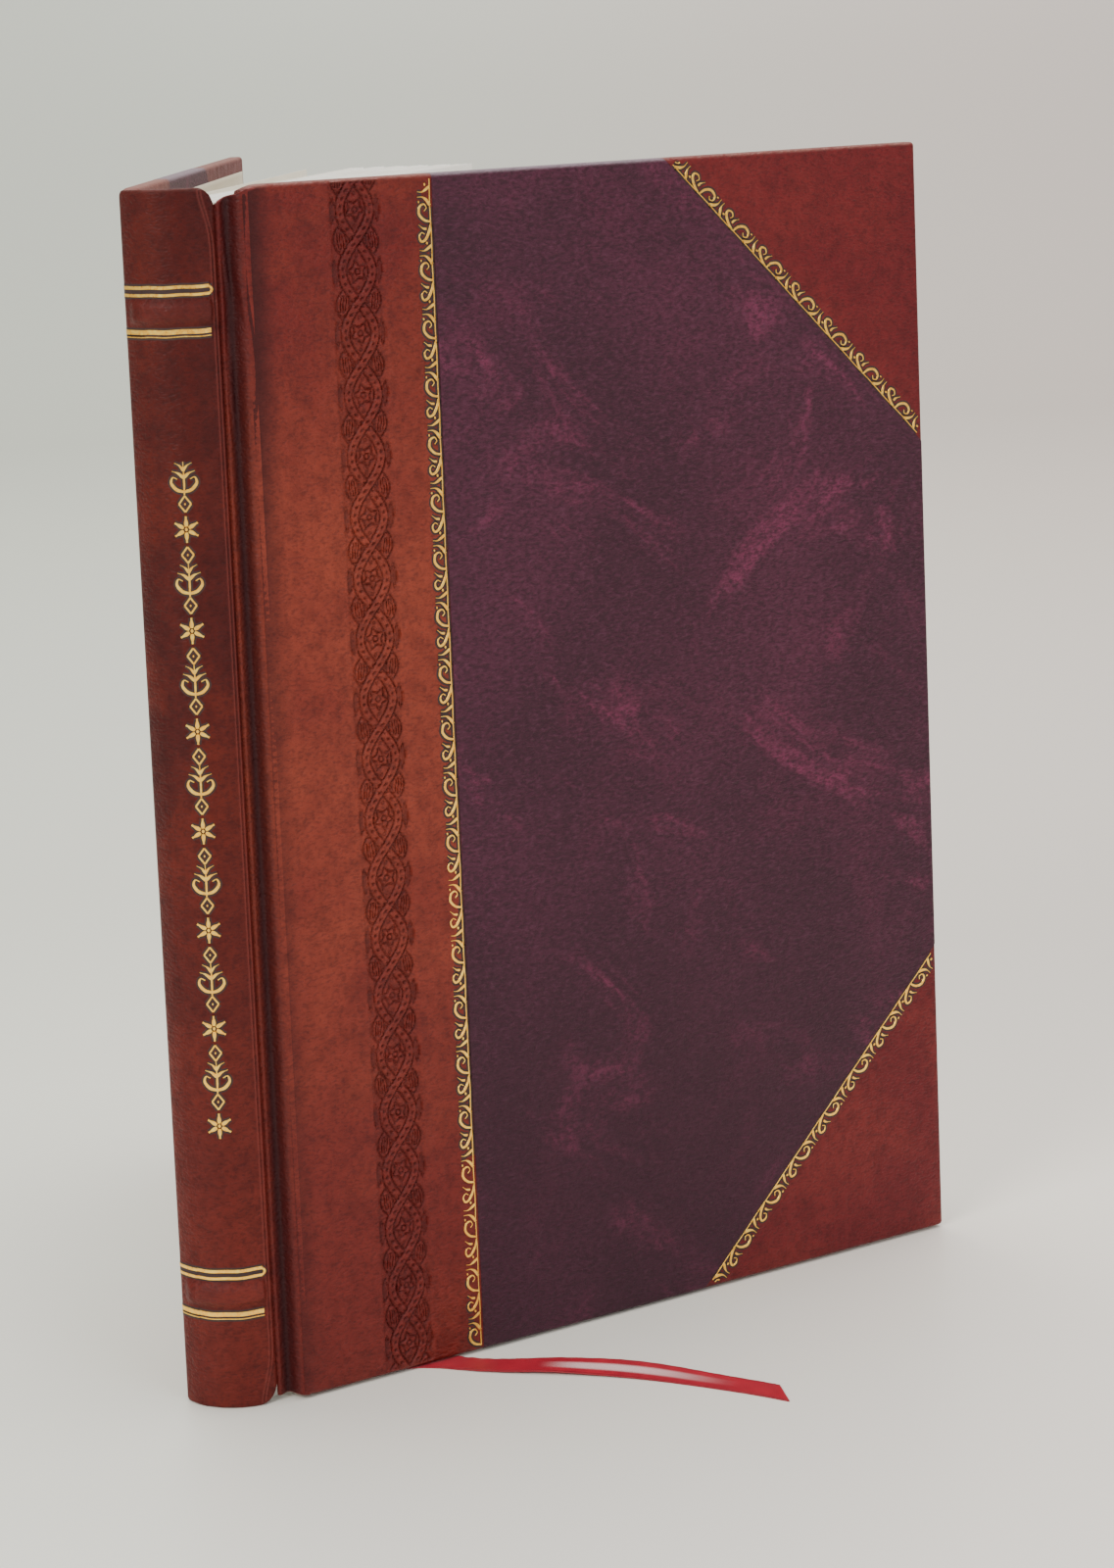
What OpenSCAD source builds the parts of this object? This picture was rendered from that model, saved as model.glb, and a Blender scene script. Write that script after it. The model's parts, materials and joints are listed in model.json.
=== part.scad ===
// Prayer book in a half-leather case binding, standing on its tail edges with the front cover ajar.
// Plan view: the spine faces -Y, the fore edges point to +Y and +X, and height runs along +Z.
// The origin is the foot of the spine, on the book's centre plane and midway through the leather.
// Each cover turns about the vertical line of its joint; each gathering turns about its own fold.

/* [Boards] */
// Height of the covers, head to tail
cover_h = 216; // [180:1:240]
// Width of a cover, from the edge beside the joint to the fore edge
cover_w = 145; // [120:1:170]
// Thickness of the bare board
board_t = 2.2; // [1.6:0.1:3]
// Thickness of the covering leather and cloth
covering_t = 0.5; // [0.3:0.1:0.8]
// Width of the covering turned in over the board's inner edges
turn_in = 15; // [10:1:20]
// Width of the spine leather on each board
strip_w = 38; // [20:1:50]
// Leg of the leather triangle on each outer corner
corner_leg = 58; // [30:1:65]

/* [Leaves] */
// Width that the covers overhang the leaves at head, tail and fore edge
square_w = 3; // [2:0.5:5]
// Number of gatherings that the leaves are sewn in
gathering_count = 6; // [4:1:6]
// Distance between the folds of two gatherings
gathering_pitch = 1.6; // [1.5:0.1:1.8]
// Thickness of one gathering away from its fold
gathering_t = 1.5; // [1.2:0.05:1.6]
// Thickness of one gathering at its fold
fold_t = 1.1; // [0.8:0.05:1.1]
// Thickness of a flyleaf
flyleaf_t = 0.4; // [0.2:0.1:0.4]

/* [Spine] */
// Distance from the centre plane to the axis of each joint
joint_x = 6.4; // [6.2:0.1:7.5]
// Outer radius of the rounded spine
spine_r = 11.4; // [11:0.1:12]
// Distance from the plane of the joints to the centre of the spine's arc
spine_rise = 8.4; // [8.2:0.1:8.6]
// Thickness of the spine leather
spine_leather_t = 1; // [0.8:0.1:1.1]
// Distance of each raised band from the head or the tail
band_inset = 21; // [15:1:30]
// Height of each raised band along the spine
band_w = 4; // [3:0.5:6]
// Amount by which the raised bands stand proud
band_rise = 0.9; // [0.5:0.1:1]

/* [Pose at rest] */
// Angle by which the front cover stands open
front_open = 56; // [20:1:80]
// Angle by which the first flyleaf stands open
flyleaf_open = 49; // [15:1:70]
// Angle by which the front gathering stands open
first_open = 15; // [8:1:24]
// Angle by which the back gathering stands open
last_open = 9; // [4:1:12]
// Angle by which the last flyleaf stands open
end_leaf_open = 5; // [2:1:8]

/* [Ribbon] */
// Width of the ribbon marker
ribbon_w = 5.6; // [4:0.2:6]
// Thickness of the ribbon marker
ribbon_t = 0.3; // [0.2:0.05:0.3]

/* [Hidden] */

$fn = 96;
eps = 1;                                        // overrun of cutting shapes
ribbon_lift = 0.5;                              // the ribbon passes under the front cover
joint_gap = 4;                                  // from a joint's axis to its board
bead_r = 0.9;                                   // leather bead round the joint's axis
joint_clearance = 0.3;                          // between the bead and the cover's leather
flange_t = 0.9;                                 // leather that crosses the joint
cover_t = board_t + 2 * covering_t;
inner_w = -0.1;                                 // inner plane of a cover, from its joint's axis
paste_t = 0.25;                                 // pastedown
leaf_z = square_w;
leaf_h = cover_h - 2 * square_w;
arc_y = spine_r - spine_leather_t / 2;          // centre of the spine's arc
joint_y = arc_y - spine_rise;                   // plane of the joints' axes
fold_y = joint_y + 1.6;                         // the folds' axes
leaf_end_y = joint_y + joint_gap + cover_w - square_w;
leaf_len = leaf_end_y - fold_y;
swell_len = 20;                                 // a gathering reaches full thickness here
flyleaf_x = (gathering_count - 1) / 2 * gathering_pitch + 1.2;
leather_in_r = spine_r - spine_leather_t;
stiffener_t = 0.6;
stiffener_in_r = leather_in_r - stiffener_t;
lining_t = 0.3;
lining_in_r = stiffener_in_r - lining_t;
mull_t = 0.25;
mull_in_r = lining_in_r - mull_t;
end_band_r = 0.7;                               // roll of a head or tail band
end_band_arc_r = 8.45;                          // the roll's distance from the arc centre
end_band_half_angle = 34;
end_band_tape_t = 0.25;
end_band_tape_h = 8;
end_band_clear = 0.15;                          // between the roll and the leaves

leather_red = [0.46, 0.17, 0.14];
spine_brown = [0.36, 0.14, 0.12];
cloth_plum = [0.27, 0.15, 0.2];
paper_cream = [0.93, 0.9, 0.82];
board_grey = [0.62, 0.57, 0.5];

// ---------- spine ----------

// Arc-shaped layer of the spine between two radii, cut off at half_w each side of the centre plane.
module spine_layer(outer_r, inner_r, half_w, low_z, high_z) {
    translate([0, 0, low_z])
        linear_extrude(high_z - low_z)
            intersection() {
                translate([0, arc_y])
                    difference() {
                        circle(outer_r);
                        circle(inner_r);
                    }
                translate([-half_w, -spine_r])
                    square([2 * half_w, spine_r + fold_y]);
            }
}

// Raised band at a height, as the arc-shaped strip under the leather.
module band_strip(centre_z) {
    half = band_w / 2 - band_rise;
    spine_layer(leather_in_r + band_rise, leather_in_r, 5.4, centre_z - half, centre_z + half);
}

module band_cover(centre_z) {
    spine_layer(spine_r + band_rise, leather_in_r, 6, centre_z - band_w / 2, centre_z + band_w / 2);
}

module spine_leather() {
    color(spine_brown)
        difference() {
            union() {
                spine_layer(spine_r, leather_in_r, joint_x, 0, cover_h);
                band_cover(band_inset);
                band_cover(cover_h - band_inset);
                for (side = [-1, 1])
                    translate([side * joint_x, joint_y, 0])
                        cylinder(r = bead_r, h = cover_h);
            }
            band_strip(band_inset);
            band_strip(cover_h - band_inset);
        }
}

module spine_stiffener() {
    color(board_grey)
        spine_layer(leather_in_r, stiffener_in_r, 5.4, 1, cover_h - 1);
}

module raised_band_head() {
    color("tan")
        band_strip(cover_h - band_inset);
}

module raised_band_tail() {
    color("tan")
        band_strip(band_inset);
}

module spine_lining_paper() {
    color([0.75, 0.66, 0.5])
        spine_layer(stiffener_in_r, lining_in_r, 5, leaf_z + 2, leaf_z + leaf_h - 2);
}

module spine_mull() {
    color([0.87, 0.85, 0.78])
        spine_layer(lining_in_r, mull_in_r, 4.9, leaf_z + 3, leaf_z + leaf_h - 3);
}

// Head band in place at the head: a roll on the leaves' edge and the tape that glues it down.
module end_band() {
    roll_z = leaf_z + leaf_h + end_band_clear + end_band_r;
    translate([0, arc_y, roll_z])
        rotate([0, 0, -90 - end_band_half_angle])
            rotate_extrude(angle = 2 * end_band_half_angle) {
                translate([end_band_arc_r, 0])
                    circle(end_band_r, $fn = 32);
                translate([mull_in_r - end_band_tape_t, -end_band_tape_h])
                    square([end_band_tape_t, end_band_tape_h]);
            }
}

module head_band() {
    color([0.85, 0.75, 0.6])
        end_band();
}

module tail_band() {
    color([0.85, 0.75, 0.6])
        translate([0, 0, cover_h])
            mirror([0, 0, 1])
                end_band();
}

// ---------- covers ----------
// A cover is drawn with X along its width from the joint's axis, Y outwards and Z up.

module front_place() {
    translate([joint_x, joint_y, 0])
        rotate([0, 0, 90 - front_open])
            mirror([0, 1, 0])
                children();
}

module back_place() {
    translate([-joint_x, joint_y, 0])
        rotate([0, 0, 90])
            children();
}

module cover_block(low_z) {
    translate([joint_gap, inner_w, low_z])
        cube([cover_w, cover_t, cover_h - low_z]);
}

module bare_board(low_z) {
    translate([joint_gap + covering_t, inner_w + covering_t, low_z + covering_t])
        cube([cover_w - 2 * covering_t, board_t, cover_h - low_z - 2 * covering_t]);
}

// Recess inside the turn-ins, as deep as the covering is thick.
module turn_in_recess(low_z, depth) {
    translate([joint_gap + turn_in, inner_w + covering_t - depth, low_z + turn_in])
        cube([cover_w - 2 * turn_in, depth, cover_h - low_z - 2 * turn_in]);
}

module covering(low_z) {
    difference() {
        cover_block(low_z);
        bare_board(low_z);
        turn_in_recess(low_z, covering_t + eps);
    }
}

// Cutting prism through a cover, from an outline in width and height.
module region(outline) {
    translate([0, 2 * cover_t, 0])
        rotate([90, 0, 0])
            linear_extrude(4 * cover_t)
                polygon(outline);
}

module strip_region() {
    strip_end = joint_gap + strip_w;
    region([[0, -eps], [strip_end, -eps], [strip_end, cover_h + eps], [0, cover_h + eps]]);
}

module head_corner_region() {
    edge = joint_gap + cover_w;
    region([
        [edge - corner_leg - eps, cover_h + eps],
        [edge + eps, cover_h - corner_leg - eps],
        [edge + eps, cover_h + eps]
    ]);
}

module tail_corner_region(low_z) {
    edge = joint_gap + cover_w;
    region([
        [edge - corner_leg - eps, low_z - eps],
        [edge + eps, low_z - eps],
        [edge + eps, low_z + corner_leg + eps]
    ]);
}

// Spine leather on a board, with the flange that reaches the joint's bead.
module cover_leather(low_z) {
    intersection() {
        covering(low_z);
        strip_region();
    }
    difference() {
        translate([0, inner_w, low_z])
            cube([joint_gap, flange_t, cover_h - low_z]);
        translate([0, 0, low_z - eps])
            cylinder(r = bead_r + joint_clearance, h = cover_h + 2 * eps);
    }
}

module cover_cloth(low_z) {
    difference() {
        covering(low_z);
        strip_region();
        head_corner_region();
        tail_corner_region(low_z);
    }
}

module cover_corner_head(low_z) {
    intersection() {
        covering(low_z);
        head_corner_region();
    }
}

module cover_corner_tail(low_z) {
    intersection() {
        covering(low_z);
        tail_corner_region(low_z);
    }
}

// Pastedown, thicker where it sinks between the turn-ins.
module pastedown(low_z) {
    turn_in_recess(low_z, covering_t);
    translate([joint_gap, inner_w - paste_t, low_z + square_w])
        cube([cover_w - square_w, paste_t, cover_h - low_z - 2 * square_w]);
}

module front_board() {
    color(board_grey)
        front_place() bare_board(ribbon_lift);
}

module front_leather() {
    color(leather_red)
        front_place() cover_leather(ribbon_lift);
}

module front_cloth() {
    color(cloth_plum)
        front_place() cover_cloth(ribbon_lift);
}

module front_corner_head() {
    color(leather_red)
        front_place() cover_corner_head(ribbon_lift);
}

module front_corner_tail() {
    color(leather_red)
        front_place() cover_corner_tail(ribbon_lift);
}

module front_pastedown() {
    color(paper_cream)
        front_place() pastedown(ribbon_lift);
}

module back_board() {
    color(board_grey)
        back_place() bare_board(0);
}

module back_leather() {
    color(leather_red)
        back_place() cover_leather(0);
}

module back_cloth() {
    color(cloth_plum)
        back_place() cover_cloth(0);
}

module back_corner_head() {
    color(leather_red)
        back_place() cover_corner_head(0);
}

module back_corner_tail() {
    color(leather_red)
        back_place() cover_corner_tail(0);
}

module back_pastedown() {
    color(paper_cream)
        back_place() pastedown(0);
}

// ---------- leaves ----------

// A leaf shape turned about its fold: fold_x across the book, open_angle towards the front cover.
module leaf_place(fold_x, open_angle) {
    translate([fold_x, fold_y, leaf_z])
        rotate([0, 0, 90 - open_angle])
            linear_extrude(leaf_h)
                children();
}

module gathering(index) {
    fold_x = ((gathering_count + 1) / 2 - index) * gathering_pitch;
    share = (index - 1) / (gathering_count - 1);
    color(paper_cream)
        leaf_place(fold_x, first_open + (last_open - first_open) * share) {
            circle(fold_t / 2);
            polygon([
                [0, -fold_t / 2], [swell_len, -gathering_t / 2], [leaf_len, -gathering_t / 2],
                [leaf_len, gathering_t / 2], [swell_len, gathering_t / 2], [0, fold_t / 2]
            ]);
        }
}

module flyleaf(fold_x, open_angle) {
    color(paper_cream)
        leaf_place(fold_x, open_angle) {
            circle(flyleaf_t / 2);
            translate([0, -flyleaf_t / 2])
                square([leaf_len, flyleaf_t]);
        }
}

// ---------- ribbon ----------
// Route of the ribbon's centre line in the front cover's own directions: width, outwards, height,
// and how far each cross line leans from square (0) to along the board's tail edge (1).
ribbon_route = [
    [4.6, -0.6, 211, 0], [5.4, -0.6, 202, 0], [6.6, -0.6, 188, 0], [7.8, -0.6, 170, 0],
    [8.8, -0.6, 150, 0], [9.6, -0.6, 130, 0], [10.2, -0.6, 110, 0], [10.6, -0.6, 90, 0],
    [10.8, -0.6, 70, 0], [11, -0.6, 50, 0], [11.2, -0.6, 34, 0], [11.6, -0.6, 26, 0],
    [12.6, -0.6, 19.6, 0], [14.8, -0.6, 13.6, 0.2], [18, -0.6, 9, 0.6], [22.2, -0.6, 5.2, 1],
    [25.2, -0.6, 2.8, 1], [27.4, -0.6, 1.2, 1], [28.2, -0.5, 0.48, 1], [28.6, -0.2, 0.2, 1],
    [29.4, 0.4, 0.17, 1], [33, 3.2, 0.17, 1], [35.6, 5.2, 0.2, 0.8], [39, 7.8, 0.6, 0.4],
    [43, 10.6, 1.2, 0], [48.4, 14.4, 1.8, 0], [53.8, 18.6, 1.7, 0], [58.8, 23.4, 1.1, 0],
    [63, 28.8, 0.5, 0], [66.4, 34.6, 0.2, 0], [69.4, 40.6, 0.17, 0], [72, 46.4, 0.17, 0],
    [74.4, 51.8, 0.17, 0]
];
ribbon_end_slant = 35;                          // the free end is cut at this angle

function unit(v) = v / norm(v);

function xyz(p) = [p[0], p[1], p[2]];

// Direction of the route at a point.
function heading(i) =
    let (last = len(ribbon_route) - 1)
    unit(xyz(ribbon_route[min(i + 1, last)]) - xyz(ribbon_route[max(i - 1, 0)]));

// Half of the line across the ribbon at a point; it keeps the ribbon's width as it leans.
function half_across(i) =
    let (
        p = ribbon_route[i],
        face = p[1] > 1 ? [0, 0, 1] : [0, 1, 0],
        square_on = unit(cross(heading(i), face)),
        lean = unit(square_on * (1 - p[3]) + [1, 0, 0] * p[3]),
        slant = i == len(ribbon_route) - 1 ? heading(i) * tan(ribbon_end_slant) : [0, 0, 0],
        across = lean / max(lean * square_on, 0.5) + slant
    )
    across * ribbon_w / 2;

function ribbon_ring(i) =
    let (
        centre = xyz(ribbon_route[i]),
        half = half_across(i),
        thick = unit(cross(half, heading(i))) * ribbon_t / 2
    )
    [
        for (k = [-3 : 2 : 3]) centre + half * k / 3 + thick,
        for (k = [3 : -2 : -3]) centre + half * k / 3 - thick
    ];

module ribbon_marker() {
    rings = len(ribbon_route);
    sides = 8;
    points = [for (i = [0 : rings - 1]) each ribbon_ring(i)];
    walls = [
        for (i = [0 : rings - 2], k = [0 : sides - 1])
            let (a = i * sides + k, b = i * sides + (k + 1) % sides)
            each [[a, b, b + sides], [a, b + sides, a + sides]]
    ];
    start_cap = [[for (k = [sides - 1 : -1 : 0]) k]];
    end_cap = [[for (k = [0 : sides - 1]) (rings - 1) * sides + k]];
    color([0.72, 0.1, 0.16])
        front_place()
            polyhedron(points, concat(walls, start_cap, end_cap), convexity = 6);
}

spine_leather();
spine_stiffener();
raised_band_head();
raised_band_tail();
spine_lining_paper();
spine_mull();
head_band();
tail_band();
front_board();
front_leather();
front_cloth();
front_corner_head();
front_corner_tail();
front_pastedown();
ribbon_marker();
back_board();
back_leather();
back_cloth();
back_corner_head();
back_corner_tail();
back_pastedown();
flyleaf(flyleaf_x, flyleaf_open);  // front_flyleaf
gathering(1);  // gathering_1
gathering(2);  // gathering_2
gathering(3);  // gathering_3
gathering(4);  // gathering_4
gathering(5);  // gathering_5
gathering(6);  // gathering_6
flyleaf(-flyleaf_x, end_leaf_open);  // back_flyleaf
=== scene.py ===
import json
import math

import bmesh
import bpy
import numpy as np
from mathutils import Matrix, Vector


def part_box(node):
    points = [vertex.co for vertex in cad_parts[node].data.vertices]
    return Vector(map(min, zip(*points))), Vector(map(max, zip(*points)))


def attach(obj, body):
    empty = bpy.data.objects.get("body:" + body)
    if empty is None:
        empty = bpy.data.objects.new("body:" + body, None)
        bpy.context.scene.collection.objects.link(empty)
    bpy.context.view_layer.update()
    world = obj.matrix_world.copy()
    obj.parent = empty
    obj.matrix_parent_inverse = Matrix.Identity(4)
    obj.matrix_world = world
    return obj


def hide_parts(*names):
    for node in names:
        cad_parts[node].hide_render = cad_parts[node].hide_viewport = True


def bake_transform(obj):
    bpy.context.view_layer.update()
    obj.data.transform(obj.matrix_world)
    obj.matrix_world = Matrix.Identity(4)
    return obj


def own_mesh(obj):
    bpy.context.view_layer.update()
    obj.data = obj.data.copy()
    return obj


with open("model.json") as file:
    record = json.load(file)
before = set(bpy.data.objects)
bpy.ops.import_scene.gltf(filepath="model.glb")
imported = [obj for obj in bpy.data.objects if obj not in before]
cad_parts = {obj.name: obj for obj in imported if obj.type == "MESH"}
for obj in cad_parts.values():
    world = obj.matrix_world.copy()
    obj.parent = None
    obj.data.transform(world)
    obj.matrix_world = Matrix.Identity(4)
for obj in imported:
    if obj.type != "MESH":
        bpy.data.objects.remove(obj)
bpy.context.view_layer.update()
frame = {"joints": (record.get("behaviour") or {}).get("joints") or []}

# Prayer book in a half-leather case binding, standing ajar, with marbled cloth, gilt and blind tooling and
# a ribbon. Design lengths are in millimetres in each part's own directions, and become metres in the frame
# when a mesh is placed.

MM = 0.001
rng = np.random.default_rng(31)

# ---------- places and sizes, from the frame ----------


def cad_corners(node):
    """The low and high corners of a CAD node's box."""
    return [np.array(corner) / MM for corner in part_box(node)]


joints = {j["name"]: j for j in frame["joints"]}
front_axis = np.array(joints["front_cover_hinge"]["pos_m"]) / MM
back_axis = np.array(joints["back_cover_hinge"]["pos_m"]) / MM
front_open = joints["front_cover_hinge"]["range_deg"][1]
board_low, board_high = cad_corners("back_board")
strip_low, strip_high = cad_corners("back_leather")
cloth_high = cad_corners("back_cloth")[1]
corner_low, corner_high = cad_corners("back_corner_head")
paste_low, paste_high = cad_corners("back_pastedown")
ribbon_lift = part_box("front_leather")[0].z / MM

COVER_H = strip_high[2]
COVER_W_OUT = back_axis[0] - strip_low[0]
COVER_W_IN = back_axis[0] - strip_high[0]
COVER_T = COVER_W_OUT - COVER_W_IN
EDGE_U = cloth_high[1] - back_axis[1]
BOARD_U = EDGE_U - (board_high[1] - board_low[1]) - 1.0
STRIP_U = strip_high[1] - back_axis[1]
CORNER_LEG = corner_high[2] - corner_low[2]
# Radius of the bead beside the front joint, and the arc of the spine in plan.
BEAD_R = 0.9
SPINE_R = 11.4
SPINE_C = np.array([0.0, SPINE_R - 0.5])
BAND_Z = (21.0, COVER_H - 21.0)
BAND_W, BAND_RISE = 4.0, 0.9

# ---------- camera ----------

CAMERA_AT = (0.0872, -0.5856, 0.2400)
CAMERA_TURN = (-2.30, 7.75, -2.34)
CAMERA_LENS, CAMERA_SHIFT = 79.57, -0.18


def make_camera():
    yaw, pitch, roll = (math.radians(a) for a in CAMERA_TURN)
    forward = Vector((math.sin(yaw) * math.cos(pitch), math.cos(yaw) * math.cos(pitch), -math.sin(pitch)))
    level = Vector((math.cos(yaw), -math.sin(yaw), 0.0))
    lift = level.cross(forward)
    right = math.cos(roll) * level + math.sin(roll) * lift
    up = math.cos(roll) * lift - math.sin(roll) * level
    data = bpy.data.cameras.new("camera")
    data.lens, data.sensor_width, data.shift_y = CAMERA_LENS, 36.0, CAMERA_SHIFT
    data.clip_start, data.clip_end = 0.01, 20.0
    camera = bpy.data.objects.new("camera", data)
    turn = Matrix((right, up, -forward)).transposed().to_4x4()
    camera.matrix_world = Matrix.Translation(CAMERA_AT) @ turn
    bpy.context.scene.collection.objects.link(camera)
    bpy.context.scene.camera = camera


make_camera()

# ---------- mesh helpers ----------


def bell(x, width):
    """1 at 0, falling away on both sides."""
    return np.exp(-((x / width) ** 2))


def smooth(x, low, high):
    """0 below low, 1 above high and an even curve between."""
    t = np.clip((np.asarray(x, float) - low) / (high - low), 0, 1)
    return t * t * (3 - 2 * t)


def make_object(name, verts, faces, at=None, **fields):
    """A smooth-shaded mesh object in metres. at is each point's place in its part's own millimetres."""
    mesh = bpy.data.meshes.new(name)
    mesh.from_pydata((np.asarray(verts, float) * MM).tolist(), [], [list(map(int, f)) for f in faces])
    mesh.update()
    mesh.polygons.foreach_set("use_smooth", [True] * len(mesh.polygons))
    if at is not None:
        layer = mesh.attributes.new("at", "FLOAT_VECTOR", "POINT")
        layer.data.foreach_set("vector", np.asarray(at, np.float32).ravel())
    for field, values in fields.items():
        layer = mesh.attributes.new(field, "FLOAT", "POINT")
        layer.data.foreach_set("value", np.asarray(values, np.float32).ravel())
    obj = bpy.data.objects.new(name, mesh)
    bpy.context.scene.collection.objects.link(obj)
    return obj


def tube_faces(rows, cols):
    """Faces of a closed tube of rings, with its ends."""
    faces = [
        (i * cols + k, i * cols + (k + 1) % cols, (i + 1) * cols + (k + 1) % cols, (i + 1) * cols + k)
        for i in range(rows - 1)
        for k in range(cols)
    ]
    return faces + [tuple(range(cols))[::-1], tuple((rows - 1) * cols + k for k in range(cols))]


def unit(v):
    return v / np.maximum(np.linalg.norm(v, axis=-1, keepdims=True), 1e-12)


def spline(points, steps):
    """Catmull-Rom curve through the points, with steps pieces in each span."""
    p = np.asarray(points, float)
    p = np.vstack([2 * p[0] - p[1], p, 2 * p[-1] - p[-2]])
    out = []
    for i in range(1, len(p) - 2):
        for t in np.arange(steps) / steps:
            a, b, c, d = p[i - 1 : i + 3]
            square, cube = 2 * a - 5 * b + 4 * c - d, 3 * b - a - 3 * c + d
            out.append(0.5 * (2 * b + (c - a) * t + square * t**2 + cube * t**3))
    out.append(p[-2])
    return np.array(out)


def run_length(line):
    """Length along a line at each of its points."""
    return np.concatenate([[0], np.cumsum(np.linalg.norm(np.diff(line, axis=0), axis=1))])


def left_of(line):
    """Unit normals on the left of a line in plan."""
    tangent = unit(np.gradient(line, axis=0))
    return np.stack([-tangent[:, 1], tangent[:, 0]], 1)


def outward(obj):
    """Faces of a closed mesh turned outwards."""
    bm = bmesh.new()
    bm.from_mesh(obj.data)
    bmesh.ops.recalc_face_normals(bm, faces=bm.faces)
    bm.to_mesh(obj.data)
    bm.free()
    return obj


def sharpen(obj, degrees=40):
    """Shades edges over an angle as sharp."""
    obj.data.set_sharp_from_angle(angle=math.radians(degrees))
    return obj


def cut(obj, point, normal):
    """Keeps the closed mesh on the side that normal points away from, and closes it. Before placing."""
    bm = bmesh.new()
    bm.from_mesh(obj.data)
    plane = Vector(point) * MM
    geometry = bm.verts[:] + bm.edges[:] + bm.faces[:]
    made = bmesh.ops.bisect_plane(
        bm, geom=geometry, dist=1e-7, plane_co=plane, plane_no=Vector(normal), clear_outer=True
    )
    edges = [e for e in made["geom_cut"] if isinstance(e, bmesh.types.BMEdge)]
    bmesh.ops.holes_fill(bm, edges=edges, sides=0)
    bm.to_mesh(obj.data)
    bm.free()
    return obj


def place(obj, placing):
    """Moves a mesh from its part's own directions to the frame, and stores where each point rests."""
    count = len(obj.data.vertices)
    local = np.empty(count * 3)
    obj.data.vertices.foreach_get("co", local)
    local = local.reshape(-1, 3) / MM
    placed = placing(local)
    layer = obj.data.attributes.get("at") or obj.data.attributes.new("at", "FLOAT_VECTOR", "POINT")
    layer.data.foreach_set("vector", placed.astype(np.float32).ravel())
    obj.data.vertices.foreach_set("co", (placed * MM).ravel())
    obj.data.update()
    return outward(obj)


def front_place(p):
    """From the front cover's width, outwards and height to the frame."""
    a = math.radians(90 - front_open)
    along, out = np.array([math.cos(a), math.sin(a), 0]), np.array([math.sin(a), -math.cos(a), 0])
    p = np.asarray(p, float)
    return front_axis + p[..., :1] * along + p[..., 1:2] * out + p[..., 2:3] * np.array([0, 0, 1])


def back_place(p):
    """From the back cover's width, outwards and height to the frame."""
    p = np.asarray(p, float)
    return back_axis + np.stack([-p[..., 1], p[..., 0], p[..., 2]], -1)


# ---------- ribbon marker ----------

# The centre line in the front cover's own width, outwards and height, and how far each cross line leans.
RIBBON_ROUTE = [
    (4.6, -0.6, 211, 0), (5.4, -0.6, 202, 0), (6.6, -0.6, 188, 0), (7.8, -0.6, 170, 0),
    (8.8, -0.6, 150, 0), (9.6, -0.6, 130, 0), (10.2, -0.6, 110, 0), (10.6, -0.6, 90, 0),
    (10.8, -0.6, 70, 0), (11, -0.6, 50, 0), (11.2, -0.6, 34, 0), (11.6, -0.6, 26, 0),
    (12.6, -0.6, 19.6, 0), (14.8, -0.6, 13.6, 0.2), (18, -0.6, 9, 0.6), (22.2, -0.6, 5.2, 1),
    (25.2, -0.6, 2.8, 1), (27.4, -0.6, 1.2, 1), (28.2, -0.5, 0.48, 1), (28.6, -0.2, 0.2, 1),
    (29.4, 0.4, 0.17, 1), (33, 3.2, 0.17, 1), (35.4, 5.8, 0.2, 0.8), (38.4, 9.4, 0.3, 0.4),
    (42.2, 13.3, 0.5, 0), (47.3, 17.9, 0.7, 0), (52.5, 22.8, 0.5, 0), (57.4, 27.9, 0.3, 0),
    (61.7, 33.2, 0.2, 0), (65.3, 38.4, 0.17, 0), (68.5, 43.4, 0.17, 0), (71.4, 48.2, 0.17, 0),
    (74, 53.1, 0.17, 0),
]
RIBBON_W, RIBBON_T = 5.6, 0.16
RIBBON_STEPS = 7
FLOOR_GAP = 0.02
RIBBON_SLANT, RIBBON_CUT = -40, 4
# Where it comes out from under the board, and how it rolls there about its own line.
RIBBON_OUT = (226, 236)
RIBBON_ROLL, RIBBON_ROLL_AT, RIBBON_ROLL_WIDTH = 9, 258, 14


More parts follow.
